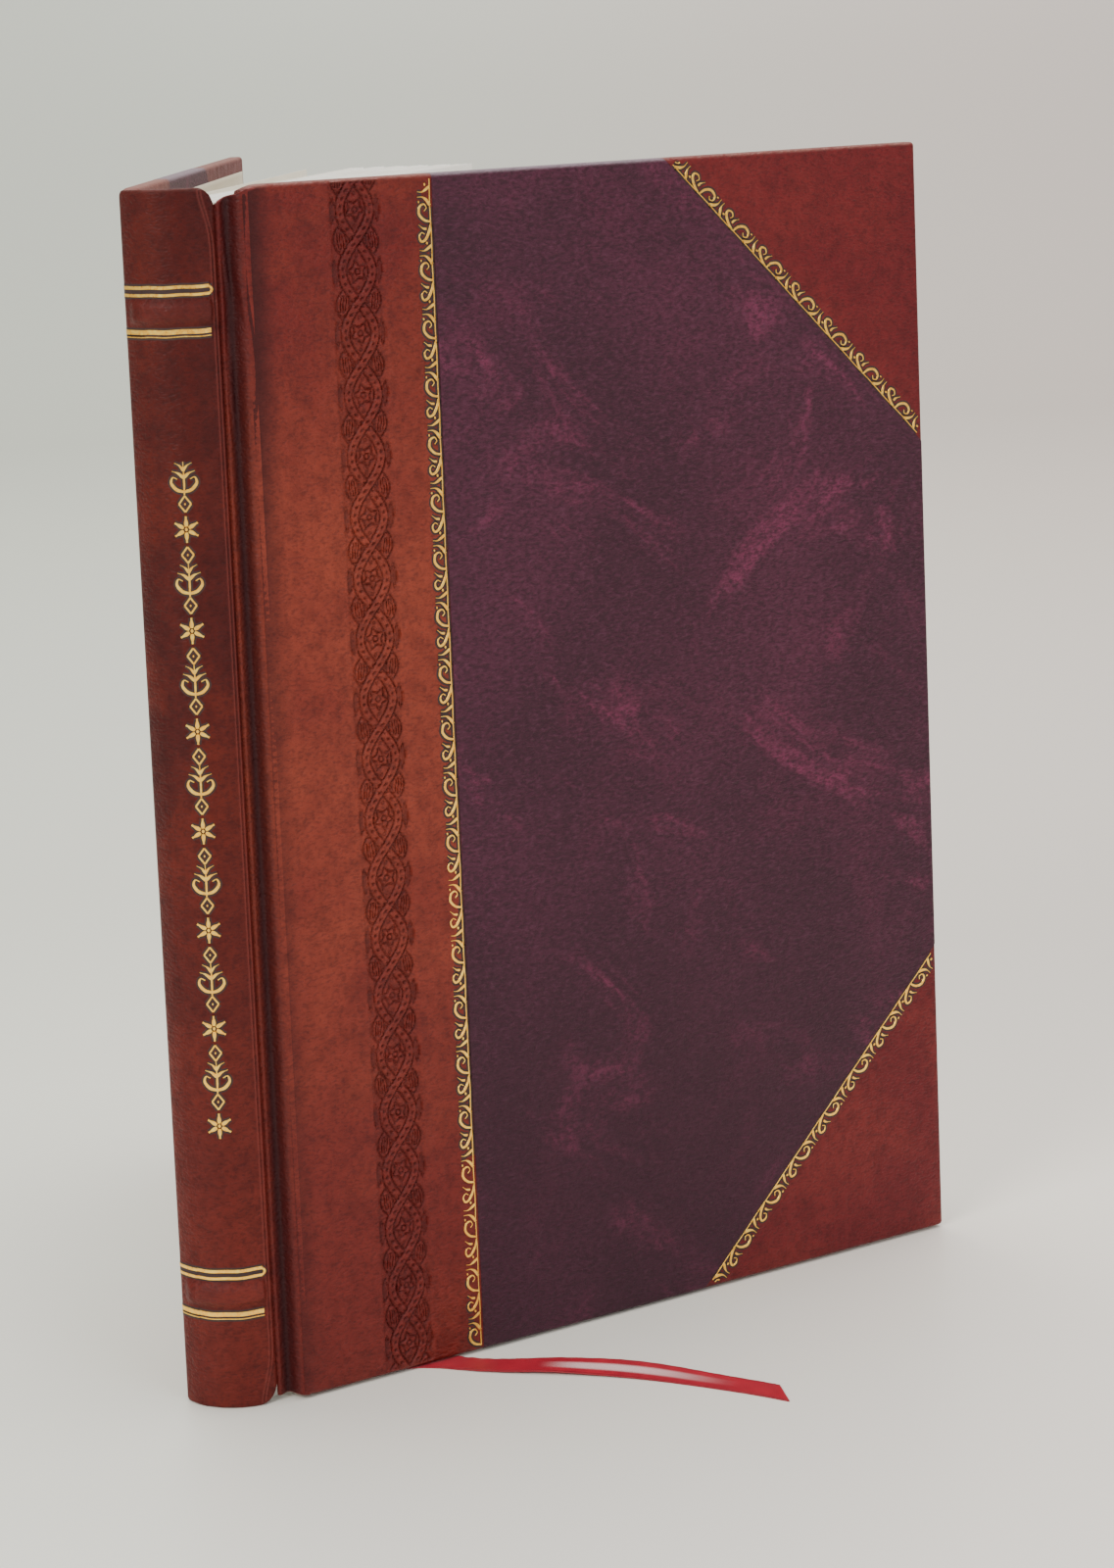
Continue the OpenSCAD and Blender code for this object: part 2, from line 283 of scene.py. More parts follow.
def make_ribbon():
    line = spline(RIBBON_ROUTE, RIBBON_STEPS)
    lean = np.clip(line[:, 3], 0, 1)[:, None]
    centre = line[:, :3]
    centre[:, 2] = np.maximum(centre[:, 2], RIBBON_T / 2 + FLOOR_GAP)
    heading = unit(np.gradient(centre, axis=0))
    face = np.where(centre[:, 1:2] > 1, [[0, 0, 1]], [[0, 1, 0]])
    square_on = unit(np.cross(heading, face))
    side = unit(square_on * (1 - lean) + np.array([[1.0, 0, 0]]) * lean)
    side = side / np.maximum((side * square_on).sum(1, keepdims=True), 0.5)
    reach = run_length(centre)
    tip = smooth(reach, reach[-1] - RIBBON_CUT, reach[-1])[:, None]
    side = side + heading * math.tan(math.radians(RIBBON_SLANT)) * tip
    up = unit(np.cross(side, heading))
    outside = smooth(reach, *RIBBON_OUT)
    # The loose end rolls about its line, and lies flat again at its tip.
    roll = math.radians(RIBBON_ROLL) * outside * bell(reach - RIBBON_ROLL_AT, RIBBON_ROLL_WIDTH)
    rolled = up * np.linalg.norm(side, axis=1, keepdims=True)
    side = side * np.cos(roll)[:, None] + rolled * np.sin(roll)[:, None]
    up = unit(np.cross(side, heading))
    centre[:, 2] += np.abs(side[:, 2]) * RIBBON_W / 2 * outside
    across = np.linspace(-1, 1, 9)
    selvedge = 1 + 0.5 * smooth(np.abs(across), 0.8, 0.95)
    pucker = 0.05 * np.sin(reach * 1.7)[:, None] * across[None] ** 2 * (1 - 0.6 * outside[:, None])
    rings = []
    for sign, order in ((1, slice(None)), (-1, slice(None, None, -1))):
        width = (across[order] * RIBBON_W / 2)[None, :, None]
        lift = sign * RIBBON_T / 2 * selvedge[order][None] + pucker[:, order]
        rings.append(centre[:, None] + side[:, None] * width + up[:, None] * lift[..., None])
    skin = np.concatenate(rings, 1)
    skin[..., 2] = np.maximum(skin[..., 2], FLOOR_GAP)
    rows, cols = skin.shape[:2]
    k_across = np.tile(np.concatenate([across, across[::-1]]) * RIBBON_W / 2, rows)
    at = np.stack([k_across, np.zeros(rows * cols), np.repeat(reach, cols)], 1)
    obj = make_object("ribbon_marker_satin", front_place(skin.reshape(-1, 3)), tube_faces(rows, cols), at)
    sharpen(outward(obj), 50)
    path = front_place(centre) * MM
    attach(obj, "front_cover")
    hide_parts("ribbon_marker")
    tuple(path[0])
    return obj


ribbon = make_ribbon()

# ---------- closed solids from loops ----------

# Thickness of a covering outside its board and of its turn-in, and the turn-in's width.
SKIN = 0.5
FLAP = 0.42
TURN_IN = 15.0


def inner_face(count):
    """The plain inner side of a slab, from its head to its tail."""
    return [(f, 1 - 2 * f, 0, 0, 1, 0) for f in np.linspace(1, 0, count)[1:-1]]


def inner_turn_in():
    """The inner side of a covering: turn-in at the head, room for the board, turn-in at the tail."""
    head = [(-TURN_IN, 0, 1, 0), (-TURN_IN, 0, 1, -FLAP), (-SKIN, 0, 1, -FLAP), (-SKIN, 0, 0, SKIN)]
    return [(1, 0, *step) for step in head] + [(0, 0, -dz, *depth) for dz, *depth in head[::-1]]


def ring(outer, inner, arc=4, edge=2):
    """Points round an upright loop, and how many of them are on the outer face.

    Each has its height share, height in radii and mm, and depth in radii, thicknesses and mm.
    """
    turn = [math.pi / 2 * k / arc for k in range(arc + 1)]
    points = [(f, 1 - 2 * f, 0, 0, 0, 0) for f in outer]
    points += [(1, math.sin(a) - 1, 0, 1 - math.cos(a), 0, 0) for a in turn[1:]]
    points += [(1, 0, 0, 1 - 2 * k / edge, k / edge, 0) for k in range(1, edge)]
    points += [(1, math.cos(a) - 1, 0, math.sin(a) - 1, 1, 0) for a in turn]
    points += inner
    points += [(0, 1 - math.sin(a), 0, math.cos(a) - 1, 1, 0) for a in turn]
    points += [(0, 0, 0, 2 * k / edge - 1, 1 - k / edge, 0) for k in range(1, edge)]
    points += [(0, 1 - math.cos(a), 0, 1 - math.sin(a), 0, 0) for a in turn[:-1]]
    return np.array(points), len(outer)


def loop_mesh(columns, template, relief=None, tool=None):
    """Points, faces and marks of a closed solid.

    Each column is (plan point, outward normal, thickness, corner radius, low, high).
    relief(plan point, height) raises the outer face and tool(plan point, height) marks it.
    """
    points, count = template
    place_at = np.array([c[0] for c in columns], float)[:, None]
    normal = unit(np.array([c[1] for c in columns], float))[:, None]
    thick, radius, low, high = (np.array([c[k] for c in columns], float)[:, None] for k in (2, 3, 4, 5))
    f, rz, dz, dr, dt, dd = points.T
    z = low + f * (high - low) + rz * radius + dz
    drop = dr * radius + dt * thick + dd
    marks = np.zeros_like(z)
    if relief is not None:
        drop[:, :count] -= relief(place_at, z[:, :count])
    if tool is not None:
        marks[:, :count] = tool(place_at, z[:, :count])
    verts = np.concatenate([place_at - normal * drop[..., None], z[..., None]], -1)
    return verts.reshape(-1, 3), tube_faces(*z.shape), marks.ravel()


def joined(parts):
    """Several (points, faces, marks) as one."""
    start, verts, faces, marks = 0, [], [], []
    for v, f, m in parts:
        verts.append(v)
        faces += [[start + k for k in face] for face in f]
        marks.append(m)
        start += len(v)
    return np.vstack(verts), faces, np.concatenate(marks)


def solid(name, part, material, placing=None, sharp=50):
    """A piece from (points, faces, marks) in its part's own millimetres."""
    obj = make_object(name, part[0], part[1], part[0], tool=part[2])
    if placing is not None:
        place(obj, placing)
    obj.data.materials.append(material)
    return sharpen(obj, sharp)


def register(obj, body, slot, *nodes):
    """Rides a piece on a body and hides the CAD nodes it stands for; slot is not used."""
    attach(obj, body)
    if nodes:
        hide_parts(*nodes)


# ---------- node materials ----------


class Nodes:
    """A material's node tree with short calls."""

    def __init__(self, name):
        self.material = bpy.data.materials.new(name)
        self.material.use_nodes = True
        self.tree = self.material.node_tree
        self.shader = self.tree.nodes["Principled BSDF"]

    def node(self, kind, **settings):
        n = self.tree.nodes.new(kind)
        for k, v in settings.items():
            if k in n.inputs:
                self.set(n.inputs[k], v)
            else:
                setattr(n, k, v)
        return n

    def set(self, socket, value):
        if isinstance(value, bpy.types.NodeSocket):
            self.tree.links.new(value, socket)
        else:
            socket.default_value = value

    def field(self, name, out="Fac"):
        return self.node("ShaderNodeAttribute", attribute_name=name).outputs[out]

    def noise(self, vector, scale, detail=3.0, roughness=0.55, distortion=0.0, stretch=None):
        if stretch is not None:
            stretched = self.node("ShaderNodeVectorMath", operation="MULTIPLY", Vector=vector)
            stretched.inputs[1].default_value = stretch
            vector = stretched.outputs[0]
        n = self.node("ShaderNodeTexNoise", Vector=vector, Scale=scale, Detail=detail, Roughness=roughness)
        n.inputs["Distortion"].default_value = distortion
        return n.outputs["Fac"]

    def cells(self, vector, scale, feature="F1", out="Distance"):
        return self.node("ShaderNodeTexVoronoi", feature=feature, Vector=vector, Scale=scale).outputs[out]

    def math(self, operation, a, b=0.5, clamp=False):
        n = self.node("ShaderNodeMath", operation=operation, use_clamp=clamp)
        self.set(n.inputs[0], a)
        self.set(n.inputs[1], b)
        return n.outputs[0]

    def times(self, a, b, clamp=False):
        return self.math("MULTIPLY", a, b, clamp)

    def plus(self, a, b):
        return self.math("ADD", a, b)

    def span(self, value, low, high, to_low=0.0, to_high=1.0):
        n = self.node("ShaderNodeMapRange", interpolation_type="SMOOTHSTEP")
        for socket, v in zip(n.inputs[:5], (value, low, high, to_low, to_high)):
            self.set(socket, v)
        return n.outputs[0]

    def mix(self, factor, a, b, blend="MIX"):
        n = self.node("ShaderNodeMix", data_type="RGBA", blend_type=blend)
        self.set(n.inputs["Factor"], factor)
        self.set(n.inputs[6], a if isinstance(a, bpy.types.NodeSocket) else (*a, 1))
        self.set(n.inputs[7], b if isinstance(b, bpy.types.NodeSocket) else (*b, 1))
        return n.outputs[2]

    def bump(self, height, depth_mm, strength=1.0):
        n = self.node("ShaderNodeBump", Height=height, Strength=strength, Distance=depth_mm * MM)
        return n.outputs[0]

    def axis(self, vector, name):
        return self.node("ShaderNodeSeparateXYZ", Vector=vector).outputs[name]

    def finish(self, color, roughness, normal=None, **sockets):
        s = self.shader.inputs
        self.set(s["Base Color"], color if isinstance(color, bpy.types.NodeSocket) else (*color, 1))
        self.set(s["Roughness"], roughness)
        if normal is not None:
            self.set(s["Normal"], normal)
        for k, v in sockets.items():
            s[k.replace("_", " ")].default_value = v
        return self.material


# Heights between which a cover's top edge is worn.
TOP_EDGE = (COVER_H - 0.8, COVER_H - 0.1)


def leather_material(name, deep, warm, dark, painted_light=0.0, gloss=0.20, edge_wear=0.7, foot=0.0):
    """Calf-like leather: two soft tones, fine pebbles and pores, cross wrinkles, a painted brighter band at
    mid-height and painted shade towards the foot, darker where the tool mark is set (blind tooling, and
    painted shade in and beside the joints' grooves and round the bands' feet) and lighter where it is
    negative (painted highlight and rubbed wear on the crease lines and band tops).
    """
    n = Nodes(name)
    at = n.field("at", "Vector")
    patches = n.noise(at, 0.035, 4, 0.6, 0.6)
    color = n.mix(n.span(patches, 0.38, 0.64), deep, warm)
    height_up = n.axis(at, "Z")
    # Painted light: a brighter, warmer band at mid-height. Painted shade: darker towards the foot, and a
    # little darker towards the head.
    middle = n.times(n.span(height_up, 25, 100), n.span(height_up, 212, 150))
    middle = n.times(middle, n.span(n.noise(at, 0.05, 3), 0.25, 0.6, 0.4 * painted_light, painted_light))
    color = n.mix(middle, color, (0.275, 0.046, 0.022))
    color = n.mix(n.span(height_up, 130, 20, 0.0, foot), color, (0.188, 0.0240, 0.0170))
    color = n.mix(n.span(height_up, 150, 205, 0.0, 0.3), color, deep)
    mottle = n.noise(at, 0.35, 5, 0.65)
    color = n.mix(n.span(mottle, 0.35, 0.75, 0.0, 0.38), color, dark)
    pebble = n.noise(at, 1.5, 2, 0.5, 0.25, (0.75, 0.75, 1.4))
    color = n.mix(n.span(pebble, 0.32, 0.54, 0.34, 0.0), color, dark)
    pores = n.cells(at, 1.9)
    color = n.mix(n.span(pores, 0.0, 0.22, 0.28, 0.0), color, dark)
    # The tool mark darkens blind tooling, and is painted shade in and beside the joints' grooves and round
    # the bands' feet.
    tool = n.field("tool")
    color = n.mix(n.times(tool, 0.72, True), color, dark)
    worn = n.times(n.span(height_up, *TOP_EDGE), n.span(mottle, 0.3, 0.6, 0.25, 0.9))
    color = n.mix(n.times(worn, edge_wear), color, (0.30, 0.135, 0.105))
    # Negative tool marks lighten the crease lines and band tops: partly painted highlight, partly rubbed
    # wear.
    rubbed_and_highlight = n.times(tool, -0.45, True)
    color = n.mix(rubbed_and_highlight, color, tuple(min(1.0, 1.9 * c + 0.03) for c in warm))
    wrinkles = n.noise(at, 1.1, 3, 0.6, 0.3, (0.5, 0.5, 1.9))
    height = n.plus(n.times(pores, 0.2), n.times(wrinkles, 0.35))
    height = n.plus(height, n.times(pebble, 0.9))
    normal = n.bump(height, 0.34, 0.8)
    rough = n.span(mottle, 0.3, 0.7, 0.40, 0.52)
    rough = n.plus(rough, n.times(tool, 0.08))
    return n.finish(color, rough, normal, Specular_IOR_Level=gloss)


def cloth_material():
    """Pebble-grained bookcloth in aubergine, marbled with broad rose veils and soft magenta smudges."""
    n = Nodes("marbled_cloth")
    at = n.field("at", "Vector")
    base = n.mix(n.span(n.noise(at, 0.02, 2), 0.35, 0.65), (0.046, 0.0078, 0.0200), (0.068, 0.0118, 0.0290))
    veil = n.span(n.noise(at, 0.03, 5, 0.62, 1.0), 0.48, 0.70, 0.0, 0.26)
    color = n.mix(veil, base, (0.125, 0.0165, 0.046))
    places = n.noise(at, 0.021, 2, 0.5, 0.5)
    brushed = []
    for turn, low, high in ((38, 0.47, 0.58), (-42, 0.51, 0.41)):
        angle = math.radians(turn)
        way = n.node("ShaderNodeVectorRotate", rotation_type="Y_AXIS", Vector=at, Angle=angle).outputs[0]
        streak = n.noise(way, 0.036, 6, 0.68, 1.1, (0.5, 1.0, 1.7))
        brushed.append(n.times(n.span(streak, 0.51, 0.68), n.span(places, low, high)))
    smudge = n.math("MAXIMUM", *brushed)
    fleck = n.span(n.noise(at, 0.7, 4, 0.7), 0.30, 0.62)
    color = n.mix(n.times(smudge, n.times(fleck, 0.85)), color, (0.175, 0.024, 0.066))
    pebble = n.noise(at, 1.25, 2.5, 0.55, 0.3, (0.75, 0.75, 1.5))
    color = n.mix(n.span(pebble, 0.34, 0.56, 0.62, 0.0), color, (0.022, 0.0035, 0.009))
    color = n.mix(n.span(pebble, 0.54, 0.70, 0.0, 0.15), color, (0.19, 0.058, 0.11))
    height_up = n.axis(at, "Z")
    # Painted shade: darker towards the foot.
    color = n.mix(n.span(height_up, 95, 20, 0.0, 0.5), color, (0.030, 0.0055, 0.0125))
    color = n.mix(n.span(height_up, *TOP_EDGE, 0.0, 0.7), color, (0.26, 0.195, 0.22))
    height = n.plus(pebble, n.times(n.noise(at, 3.2, 3), 0.25))
    normal = n.bump(height, 0.5, 0.9)
    return n.finish(color, 0.55, normal, Sheen_Weight=0.02, Sheen_Roughness=0.4, Specular_IOR_Level=0.26)


def gilt_material():
    n = Nodes("gilt")
    at = n.field("at", "Vector")
    worn = n.noise(at, 1.3, 4, 0.6)
    color = n.mix(n.span(worn, 0.35, 0.75), (1.0, 0.50, 0.065), (1.0, 0.71, 0.15))
    normal = n.bump(n.noise(at, 2.2, 3), 0.05, 0.5)
    return n.finish(color, n.span(worn, 0.3, 0.7, 0.26, 0.38), normal, Metallic=0.85)


def paper_material(name, tone, shade, fibre=1.0):
    n = Nodes(name)
    at = n.field("at", "Vector")
    color = n.mix(n.span(n.noise(at, 0.06, 4, 0.6), 0.3, 0.75, 0.0, 0.3), tone, shade)
    color = n.mix(n.span(n.noise(at, 2.6, 4, 0.7), 0.55, 0.8, 0.0, 0.25), color, shade)
    color = n.mix(n.times(n.field("tool"), 0.8, True), color, shade)
    normal = n.bump(n.noise(at, 2.4, 5, 0.7), 0.03 * fibre, 0.5)
    return n.finish(color, 0.82, normal, Specular_IOR_Level=0.25)


RIB_PITCH, WARP_PITCH = 0.34, 0.26


def satin_material():
    """Ribbon satin: fine cross ribs, and a pale middle where the loose end catches the light."""
    n = Nodes("ribbon_satin")
    at = n.field("at", "Vector")
    parts = n.node("ShaderNodeSeparateXYZ", Vector=at)
    ribs = n.math("SINE", n.times(parts.outputs["Z"], 2 * math.pi / RIB_PITCH), 0)
    warp = n.math("SINE", n.times(parts.outputs["X"], 2 * math.pi / WARP_PITCH), 0)
    color = n.mix(n.span(n.noise(at, 0.2, 3), 0.3, 0.7), (0.34, 0.005, 0.018), (0.46, 0.009, 0.026))
    off_middle = n.math("ABSOLUTE", parts.outputs["X"], 0)
    edge = n.span(off_middle, 2.35, 2.6)
    color = n.mix(n.times(edge, 0.5), color, (0.20, 0.003, 0.012))
    shine = n.times(n.span(parts.outputs["Z"], 241, 250), n.span(parts.outputs["Z"], 280, 258))
    shine = n.times(shine, n.span(off_middle, 1.5, 0.6, 0.0, 0.82))
    color = n.mix(shine, color, (0.86, 0.62, 0.60))
    height = n.plus(ribs, n.times(warp, 0.6))
    return n.finish(color, 0.36, n.bump(height, 0.03, 0.5), Sheen_Weight=0.08, Sheen_Roughness=0.35)


def plain_material(name, tone, shade, scale=1.0, rough=0.8, depth=0.06):
    n = Nodes(name)
    at = n.node("ShaderNodeTexCoord").outputs["Object"]
    color = n.mix(n.span(n.noise(at, 600 * scale, 5, 0.7), 0.35, 0.7), tone, shade)
    return n.finish(color, rough, n.bump(n.noise(at, 1500 * scale, 4), depth, 0.5))


def end_band_material():
    """Two colours of thread by the stripe field."""
    n = Nodes("end_band_silk")
    at = n.field("at", "Vector")
    color = n.mix(n.field("tool"), (0.72, 0.62, 0.42), (0.36, 0.03, 0.04))
    color = n.mix(n.span(n.noise(at, 4, 3), 0.4, 0.8, 0, 0.4), color, (0.25, 0.12, 0.08))
    normal = n.bump(n.noise(at, 5, 2), 0.03, 0.4)
    return n.finish(color, 0.5, normal, Sheen_Weight=0.25, Sheen_Roughness=0.4)


BOARD_LEATHER = leather_material(
    "board_leather", (0.132, 0.0112, 0.0095), (0.182, 0.0235, 0.0130), (0.028, 0.0026, 0.0033),
    painted_light=0.72, foot=0.45,
)
CORNER_LEATHER = leather_material(
    "corner_leather", (0.132, 0.0100, 0.0120), (0.166, 0.0160, 0.0150), (0.028, 0.0026, 0.0034),
)
SPINE_LEATHER = leather_material(
    "spine_leather", (0.062, 0.0055, 0.0040), (0.112, 0.0120, 0.0065), (0.016, 0.0018, 0.0022),
    gloss=0.16, edge_wear=0.15, foot=0.42,
)
CLOTH = cloth_material()
GILT = gilt_material()
# The dark ground round the gilt: the pressed leather's darker tone, partly painted shade in and round the
# impressions.
PRESSED_AND_SHADE = plain_material("pressed_edge", (0.020, 0.005, 0.004), (0.035, 0.009, 0.006), rough=0.6)
ENDPAPER = paper_material("endpaper", (0.80, 0.74, 0.60), (0.62, 0.52, 0.36))
LEAF_PAPER = paper_material("leaf_paper", (0.95, 0.93, 0.86), (0.74, 0.65, 0.50))
MILLBOARD = plain_material("millboard", (0.30, 0.27, 0.22), (0.20, 0.17, 0.14), rough=0.9)
BAND_CARD = plain_material("band_card", (0.42, 0.33, 0.21), (0.33, 0.25, 0.16), rough=0.9)
LINING = plain_material("lining_paper", (0.40, 0.30, 0.17), (0.30, 0.21, 0.12), 0.6)
MULL = plain_material("mull", (0.70, 0.66, 0.54), (0.48, 0.44, 0.34), 2.5, 0.9, 0.12)
SATIN = satin_material()
END_BAND = end_band_material()
ribbon.data.materials.append(SATIN)

# ---------- covers ----------

NOTCH = 3.0
FOOT_SHARE = 0.3
EDGE_R = 0.75
CLOTH_RISE = 0.14
BOARD_INSET = 0.55


def notch(u):
    """How far the cover's head drops beside the joint, where the board's back corner is taken off."""
    return NOTCH * (1 - np.clip((u - 0.6) / 7.5, 0, 1)) ** 1.4


def slab_columns(us, low, rise=0.0, fore_edge=False, inset=0.0):
    """Columns of a cover's slab, with a rounded fore edge, all of it inset from the cover's faces."""
    columns = []

    def add(u, drawn_in):
        deep = inset + drawn_in
        radius = max(EDGE_R - drawn_in, 0.06)
        drop = deep + notch(u)
        top = COVER_W_OUT + rise - deep
        foot = deep + FOOT_SHARE * notch(u)
        columns.append(((u, top), (0, 1), COVER_T + rise - 2 * deep, radius, low + foot, COVER_H - drop))

    for u in us:
        add(u, 0)
    if fore_edge:
        for q in (0.39, 0.79, 1.18, 1.52):
            add(us[-1] + EDGE_R * math.sin(q), EDGE_R * (1 - math.cos(q)))
    return columns


def cutter(low, high):
    """A box in millimetres to take away from a mesh."""
    corners = [(x, y, z) for z in (low[2], high[2]) for y in (low[1], high[1]) for x in (low[0], high[0])]
    faces = [(0, 2, 3, 1), (4, 5, 7, 6), (0, 1, 5, 4), (2, 6, 7, 3), (0, 4, 6, 2), (1, 3, 7, 5)]
    return make_object("cutter", corners, faces)


def hollow(obj, boxes):
    """Takes boxes away from a closed mesh."""
    cutters = [cutter(*box) for box in boxes]
    for k, tool in enumerate(cutters):
        step = obj.modifiers.new(f"hollow_{k}", "BOOLEAN")
        step.operation, step.solver, step.object = "DIFFERENCE", "EXACT", tool
    bpy.context.view_layer.update()
    result = bpy.data.meshes.new_from_object(obj.evaluated_get(bpy.context.evaluated_depsgraph_get()))
    obj.modifiers.clear()
    obj.data = result
    for tool in cutters:
        bpy.data.objects.remove(tool)
    return obj


# Blind roll: two beaded stems woven round five-pointed stars, with veined leaf buds outside them.
ROLL_U = BOARD_U + 22.6
ROLL_HALF = 4.9
ROLL_REPEAT = COVER_H / 10
ROLL_LINE = 0.18


def star_distance(p, q, r, turn):
    """Signed distance to a five-pointed star's outline, near enough for tooling."""
    sector = 2 * math.pi / 5
    folded = np.abs((np.arctan2(p, q) + turn + sector / 2) % sector - sector / 2)
    reach = np.hypot(p, q)
    inner = 0.52 * r * np.array([math.cos(sector / 2), math.sin(sector / 2)])
    edge = inner - np.array([r, 0.0])
    x, y = reach * np.cos(folded) - r, reach * np.sin(folded)
    return (y * edge[0] - x * edge[1]) / -np.linalg.norm(edge)


def bud_distance(p, q, half_w, half_l):
    """Signed distance to a pointed leaf's outline: a lens of two arcs."""
    r = (half_l**2 + half_w**2) / (2 * half_w)
    return np.hypot(np.abs(p) + r - half_w, q) - r


def turned(p, q, angle):
    return p * math.cos(angle) - q * math.sin(angle), p * math.sin(angle) + q * math.cos(angle)


def line_mark(distance, width=ROLL_LINE):
    return 1 - smooth(np.abs(distance), width * 0.5, width * 1.5)


ROLL_SWING, ROLL_STEM = 2.95, 0.8
ROLL_STARS = ((0.0, 5.4, 2.05, 0.2), (0.0, 16.2, 2.05, -0.5))
ROLL_BUDS = (
    (3.15, 0.1, 1.2, 2.4, 0.12), (-3.15, -0.1, 1.2, 2.4, 0.12), (3.15, 10.7, 1.2, 2.4, -0.12),
    (-3.15, 10.9, 1.2, 2.4, -0.12), (4.42, 5.4, 0.45, 2.1, 0.05), (-4.42, 5.4, 0.45, 2.1, -0.05),
    (4.42, 16.2, 0.45, 2.1, -0.05), (-4.42, 16.2, 0.45, 2.1, 0.05),
)
ROLL_DOTS = (2.55, 8.25, 13.35, 19.05)


def roll_marks(u, z):
    """(lines, fill) of the blind roll at points of the board's face, each from 0 to 1."""
    p = u - ROLL_U
    lines, fill = np.zeros_like(z + p), np.zeros_like(z + p)

    def from_centre(cz):
        return (z - cz + ROLL_REPEAT / 2) % ROLL_REPEAT - ROLL_REPEAT / 2

    for cp, cz, half_w, half_l, turn in ROLL_BUDS:
        bp, bq = turned(p - cp, from_centre(cz), turn)
        edge = bud_distance(bp, bq, half_w, half_l)
        veins = np.minimum(np.abs(bp), np.abs(np.abs(bp) - 0.45 * half_w * (1 - (bq / half_l) ** 2)))
        veins = np.where(np.abs(bq) < half_l * 0.62, veins, 9.0)
        lines = np.where(edge < 0.35, np.maximum(line_mark(edge), 0.85 * line_mark(veins, 0.13)), lines)
        fill = np.where(edge < 0, 0.8, fill)
    for cp, cz, r, turn in ROLL_STARS:
        q = from_centre(cz)
        edge = star_distance(p - cp, q, r, turn)
        lines = np.where(edge < 0.35, line_mark(edge), lines)
        lines = np.maximum(lines, line_mark(np.hypot(p - cp, q) - 0.5, 0.15))
        fill = np.where(edge < 0, 0.9, fill)
    for cz in ROLL_DOTS:
        lines = np.maximum(lines, 1 - smooth(np.hypot(p, from_centre(cz)), 0.2, 0.5))
    phase = 2 * math.pi * z / ROLL_REPEAT
    slope = ROLL_SWING * 2 * math.pi / ROLL_REPEAT * np.cos(phase)
    across = [(p - sign * ROLL_SWING * np.sin(phase)) / np.sqrt(1 + slope**2) for sign in (1, -1)]
    first_over = np.abs(from_centre(0.0)) < ROLL_REPEAT / 4
    for mine, other, hidden in ((across[0], across[1], ~first_over), (across[1], across[0], first_over)):
        shown = (np.abs(mine) < ROLL_STEM + 0.3) & ~(hidden & (np.abs(other) < ROLL_STEM + 0.1))
        bead = (z % 1.35) - 0.68
        mark = np.maximum(line_mark(np.abs(mine) - ROLL_STEM), 1 - smooth(np.hypot(mine, bead), 0.16, 0.42))
        lines = np.where(shown, mark, lines)
        fill = np.where(shown & (np.abs(mine) < ROLL_STEM), 1.0, fill)
    return lines, fill


def roll_share(u):
    return smooth(ROLL_HALF + 0.3 - np.abs(u - ROLL_U), 0, 0.4)


def strip_relief(point, z):
    u = point[..., 0]
    lines, fill = roll_marks(u, z)
    wave = 0.06 * np.sin(u * 0.31 + 1.3 * np.sin(z * 0.041)) * np.sin(z * 0.057 + 0.8)
    return wave - roll_share(u) * (0.36 * lines + 0.20 * (1 - fill))


def strip_tooling_and_shade(point, z):
    u = point[..., 0]
    lines, fill = roll_marks(u, z)
    # Painted shade beside the joint's groove, wider and darker towards the head; the rest is the blind
    # roll's tooling.
    at_head = smooth(z, 110, 200)
    near = BOARD_U + 0.4 + 1.6 * at_head
    shade_beside_joint = (0.7 + 0.45 * at_head) * (1 - smooth(u, near, BOARD_U + 6.0 + at_head))
    return np.maximum(roll_share(u) * (0.52 * lines + 0.05 * (1 - fill)), shade_beside_joint)


FINE = 0.24
strip_us = np.concatenate([
    np.linspace(BOARD_U + 0.9, ROLL_U - ROLL_HALF - 0.5, 14)[:-1],
    np.arange(ROLL_U - ROLL_HALF - 0.5, ROLL_U + ROLL_HALF + 0.5, FINE),
    np.linspace(ROLL_U + ROLL_HALF + 0.6, STRIP_U, 12),
])
strip_ring = ring(np.linspace(0, 1, int(COVER_H / FINE)), inner_turn_in())
slab_ring = ring(np.linspace(0, 1, 96), inner_face(40))
board_ring = ring(np.linspace(0, 1, 24), inner_face(24), arc=2, edge=1)


